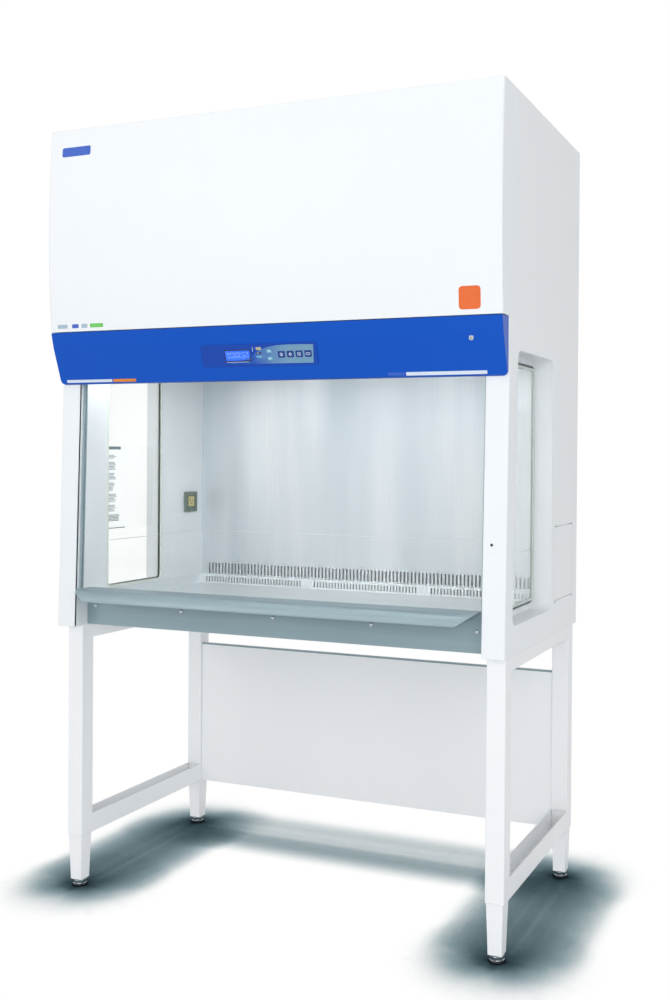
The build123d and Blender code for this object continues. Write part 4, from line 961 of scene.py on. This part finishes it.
outlet = {
    "y": 248.5,
    "z": 1099.0,
    "face": -601.3,
    "rise": 1.3,
    "frame": -599.5,
    "screwHeights": (1068.5, 1125.5),
    "holeShades": ((-6.5, 2, 2.2, 7.5), (6.5, 2, 2.2, 7.5), (0, -8, 4.4, 4.4)),
}
wallAcross, wallNormal = (0, 1, 0), (1, 0, 0)
coverSpot = seatAt((outlet["face"], outlet["y"], outlet["z"]), wallAcross, wallNormal)
coverRide = ("cabinet", "outlet_grey")
slabPiece("outletCover", "ivoryPlastic", coverRide, roundedOutline(34, 32, 3), coverSpot, outlet["rise"], 0.8)
# black slabs in the socket openings: painted shade
bm = bmesh.new()
for y, drop, width, height in outlet["holeShades"]:
    spot = (outlet["face"] + outlet["rise"] - 0.05, outlet["y"] + y, outlet["z"] + drop)
    addSlab(bm, roundedOutline(width, height, 1.0), seatAt(spot, wallAcross, wallNormal), 0.12)
meshPiece("outletHoleShades", bm, "blackNylon", "cabinet", "black_nylon")
bm = bmesh.new()
for z in outlet["screwHeights"]:
    addScrew(bm, seatAt((outlet["frame"], outlet["y"], z), wallAcross, wallNormal), 2.6, 0.8)
smoothTurned(meshPiece("outletScrews", bm, "brightSteel", "cabinet", "bright_steel"))

# narrow cover strip over the seam of the side walls, in line with the top of the return grille
wallStrip = {"z": 997.5, "front": -176, "rear": 331.5, "x": 608.5, "height": 1.8, "rise": 0.5, "crown": 0.3}
stripMiddle = (wallStrip["front"] + wallStrip["rear"]) / 2
sideLength, rearLength = wallStrip["rear"] - wallStrip["front"], 2 * wallStrip["x"] - 4
strips = {
    "wallStripLeft": (sideLength, wallSeat(-1, wallStrip["x"], stripMiddle, wallStrip["z"])),
    "wallStripRight": (sideLength, wallSeat(1, wallStrip["x"], stripMiddle, wallStrip["z"])),
    "wallStripRear": (rearLength, seatAt((0, wallStrip["rear"], wallStrip["z"]), (1, 0, 0), (0, -1, 0))),
}
for name, (length, seat) in strips.items():
    outline = roundedOutline(length, wallStrip["height"], 0.8)
    slabPiece(name, "traySteel", ("cabinet", "stainless"), outline, seat, wallStrip["rise"], wallStrip["crown"])

# pale rubber lip around the window openings
windowTrim = {"spot": (608.5, -48.5, 1177.0), "outer": (280, 646, 20), "inner": (262, 628, 11), "rise": 1.2}
for side, name in ((-1, "windowTrimLeft"), (1, "windowTrimRight")):
    bm = bmesh.new()
    outlines = [roundedOutline(*windowTrim["outer"]), roundedOutline(*windowTrim["inner"])]
    addPlate(bm, outlines, wallSeat(side, *windowTrim["spot"]), windowTrim["rise"])
    meshPiece(name, bm, "lipRubber", "cabinet", "grey_rubber")

# coved "sealant" in the rear corners of the chamber
cove = {"radius": 6.0, "x": 608.3, "y": 332.8, "low": 998.5, "high": 1518.8, "steps": 5}
for side, name in ((-1, "coveLeft"), (1, "coveRight")):
    outline = [(0, 0)]
    for index in range(cove["steps"] + 1):
        angle = math.pi / 2 * index / cove["steps"]
        across, deep = 1 - math.sin(angle), 1 - math.cos(angle)
        outline.append((-side * cove["radius"] * across, -cove["radius"] * deep))
    seat = Matrix.Translation(mm(side * cove["x"], cove["y"], cove["low"]))
    slabPiece(name, "sealant", ("cabinet", "stainless"), outline, seat, cove["high"] - cove["low"])

# plain notice on clear film inside the left window, its lines as plain bars
notice = {
    "x": -611.9,
    "middle": (-71, 1153),
    "size": (230, 246),
    "rise": 0.25,
    "textStart": -179,
    "textTop": 1271,
    "textWidth": 61,
    "title": (9.0, 22),
    "paragraphs": [(3, 2.0, 0.62), (6, 2.0, 0.72), (5, 2.0, 0.6), (6, 2.0, 0.55), (6, 2.0, 0.66)],
    "closing": [(5, 2.0, 0.62), (5, 2.4, 0.9)],
    "shares": (0.7, 1.05),
    "leading": 4.2,
    "gap": 8,
    "footLine": (88, 2.6, -139, 1031.5),
}


def onNotice(y, z, lift):
    return seatAt((notice["x"] + lift, y, z), (0, 1, 0), (1, 0, 0))


filmRide, filmOutline = ("cabinet", "clear_glass"), roundedOutline(*notice["size"], 2)
filmSeat = onNotice(*notice["middle"], 0)
slabPiece("noticeFilm", "windowGlass", filmRide, filmOutline, filmSeat, notice["rise"])
bm = bmesh.new()


def addBar(bm, length, thickness, y, z):
    # bar of print from y on at height z
    outline = roundedOutline(length, thickness, min(thickness, 2.0) * 0.3)
    addSlab(bm, outline, onNotice(y + length / 2, z, notice["rise"]), 0.06)


level = notice["textTop"]
addBar(bm, notice["textWidth"], notice["title"][0], notice["textStart"], level)
level -= notice["title"][1]
for count, thickness, reach in notice["paragraphs"] + notice["closing"]:
    for index in range(count):
        length = notice["textWidth"] * reach * random.uniform(*notice["shares"])
        addBar(bm, length, thickness, notice["textStart"], level)
        level -= notice["leading"]
    level -= notice["gap"]
length, thickness, y, z = notice["footLine"]
addSlab(bm, roundedOutline(length, thickness, 0.8), onNotice(y, z, notice["rise"]), 0.06)
meshPiece("noticeLines", bm, "greyInk", "cabinet", "outlet_grey")
print("chamber details ready")

# Plug in the right pillar and a grey strip on the knee panel's top edge, painted shade for the shade line there

pillarPlug = {"spot": (632, -321.6, 1038), "radius": 3.6, "rise": 1.0, "rake": 0.029}
radius, rise = pillarPlug["radius"], pillarPlug["rise"]
plugRings = [(0, -0.4), (radius, -0.4), (radius, 0.4 * rise), (0.8 * radius, rise), (0.5 * radius, rise)]
plugRings += [(0.42 * radius, 0.5 * rise), (0, 0.5 * rise)]
plugSeat = seatAt(pillarPlug["spot"], (1, 0, 0), (0, -1, pillarPlug["rake"]))
turnedPiece("pillarPlug", "blackNylon", ("cabinet", "black_nylon"), plugRings, plugSeat, 20)

# grey strip along the top edge of the knee panel: a dark piece put where there is only a shade line, painted
# shade
panelShadeStrip = {
    "half": 610.5,
    "inner": [(333.6, 611.2), (334.4, 611.0), (334.5, 615.0), (338.8, 615.0), (338.9, 611.0), (339.7, 611.2)],
    "outer": [(339.8, 615.2), (338.9, 616.4), (334.4, 616.4), (333.5, 615.4)],
}
shadeStripSeat = seatAt((-panelShadeStrip["half"], 0, 0), (0, 1, 0), (1, 0, 0))
shadeStripProfile = panelShadeStrip["inner"] + panelShadeStrip["outer"]
slabPiece("panelShadeStrip", "shadeStripGrey", ("cabinet", "grey_rubber"), shadeStripProfile, shadeStripSeat, 2 * panelShadeStrip["half"])

# Weld beads in the corners of the stand frames


def addBead(bm, start, end, radius, ripple, steps, sides=8):
    # rippled weld bead between two points, in mm
    start, end = Vector(start), Vector(end)
    seat = seatAt(start, (0, 0.7071, 0.7071), end - start)
    length = (end - start).length
    rings = [(0, 0)]
    for index in range(steps + 1):
        share = index / steps
        swell = radius * (1 + ripple * math.cos(math.pi * index)) * (0.6 if index in (0, steps) else 1)
        rings.append((swell, share * length))
    rings.append((0, length))
    addTurned(bm, rings, seat, sides)


welds = {"xs": (613.5, 658.5), "ys": (-241.5, 326.5), "zs": (204, 720), "bead": (2.2, 0.16, 26)}
bm = bmesh.new()
for side in (-1, 1):
    for y in welds["ys"]:
        for z in welds["zs"]:
            start, end = [(side * x, y, z) for x in welds["xs"]]
            addBead(bm, start, end, *welds["bead"])
smoothTurned(meshPiece("standWelds", bm, "standCoat", "cabinet", "white_enamel"), 60)

# Sash cables: fixed turns over the sheaves, a run down to each counterweight and one
# down to the sash

cable = {
    "x": 614.0,
    "y": -268.8,
    "z": 2130.0,
    "turn": 23.8,
    "radius": 1.35,
    "strands": 6,
    "lay": 16.0,
    "sashEnd": 2091.8,
    "weightEnd": 1491.9,
    "travel": 582.0,
    "slack": 0.8,
    "rake": 0.029,
    "around": 18,
    "turnSteps": 32,
    "lap": 0.2,
    "weightStep": 2.5,
    "sashStep": 0.6,
}


def addRope(bm, path, cable):
    # twisted wire rope along points with their directions, all in one plane of constant y
    rings, reach, before = [], 0.0, None
    for point, way in path:
        if before is not None:
            reach += (point - before).length
        before = point
        across = Vector((0, 1, 0)).cross(way).normalized()
        ring = []
        for index in range(cable["around"]):
            angle = 2 * math.pi * index / cable["around"]
            lobe = abs(math.cos(cable["strands"] / 2 * (angle - 2 * math.pi * reach / cable["lay"])))
            radius = cable["radius"] * (0.84 + 0.16 * lobe)
            spot = point + radius * (math.cos(angle) * across + math.sin(angle) * Vector((0, 1, 0)))
            ring.append(bm.verts.new(mm(*spot)))
        rings.append(ring)
    bridge(bm, rings)


def straightRun(x, start, end, step, cable):
    count = max(2, round(abs(end - start) / step))
    way = Vector((0, 0, 1 if end > start else -1))
    heights = [start + (end - start) * index / count for index in range(count + 1)]
    return [(Vector((x, cable["y"], height)), way) for height in heights]


turns, weightRuns = bmesh.new(), bmesh.new()
for side in (-1, 1):
    middle = Vector((side * cable["x"], cable["y"], cable["z"]))
    wrap = []
    for index in range(cable["turnSteps"] + 1):
        angle = math.pi * index / cable["turnSteps"]
        outward = Vector((-side * math.cos(angle), 0, math.sin(angle)))
        way = Vector((side * math.sin(angle), 0, math.cos(angle)))
        wrap.append((middle + cable["turn"] * outward, way))
    addRope(turns, wrap, cable)
    outer = side * (cable["x"] + cable["turn"])
    head = cable["z"] - cable["lap"]
    addRope(weightRuns, straightRun(outer, head, cable["weightEnd"], cable["weightStep"], cable), cable)
    sashRun = bmesh.new()
    inner = side * (cable["x"] - cable["turn"])
    addRope(sashRun, straightRun(inner, cable["sashEnd"], head, cable["sashStep"], cable), cable)
    sideName = "left" if side < 0 else "right"
    run = meshPiece(f"cableToSash_{sideName}", sashRun, "brightSteel", None, "bright_steel")
    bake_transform(run)
    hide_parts("sash_cables")
turns = meshPiece("cableTurns", turns, "brightSteel", "cabinet", "bright_steel")
weightRuns = meshPiece("cableToWeights", weightRuns, "brightSteel", "cabinet", "bright_steel")
for piece in (turns, weightRuns):
    smoothTurned(piece)
    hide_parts("sash_cables")
length = cable["z"] - cable["weightEnd"]
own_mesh(weightRuns)
print("cables ready")

# Levelling feet: hexagon nut and threaded stud over a rubber pad

footPlaces = {
    "front_left": (-636, -266.5),
    "front_right": (636, -266.5),
    "rear_left": (-636, 351.5),
    "rear_right": (636, 351.5),
}
footShape = {
    "pad": [(0, 0), (15.5, 0), (17.5, 1.2), (17.8, 3.4), (16.8, 4.4), (16.8, 5.4), (0, 5.4)],
    "nut": [(0, 5.4), (18.4, 5.4), (19.2, 6.2), (19.2, 7.4), (18.2, 8.2), (17.6, 8.4, "hex")],
    "nutHead": [(20.6, 9.6, "hex"), (20.6, 17.0, "hex"), (18.0, 18.4, "hex"), (10.4, 18.4)],
    "nutTop": [(10.0, 17.4), (5.0, 17.4)],
    "thread": {"outer": 5.0, "inner": 4.3, "pitch": 1.6, "foot": 18.0, "head": 62.6},
}


def threadRings(thread):
    rings = []
    height = thread["foot"]
    while height < thread["head"] - thread["pitch"]:
        rings += [(thread["inner"], height), (thread["outer"], height + thread["pitch"] / 2)]
        height += thread["pitch"]
    return rings + [(thread["inner"], height), (0, height)]


nutRings = footShape["nut"] + footShape["nutHead"] + footShape["nutTop"] + threadRings(footShape["thread"])
for foot, (x, y) in footPlaces.items():
    body = f"foot_{foot}"
    seat = Matrix.Translation(mm(x, y, 0))
    pad = turnedPiece(f"footPad_{foot}", "footRubber", (body, "foot_rubber"), footShape["pad"], seat, 36)
    nut = turnedPiece(f"footNut_{foot}", "brightSteel", (body, "bright_steel"), nutRings, seat, 36)
    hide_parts(f"levelling_foot_{foot}")
    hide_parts(f"levelling_foot_{foot}")
print("stand details and feet ready")
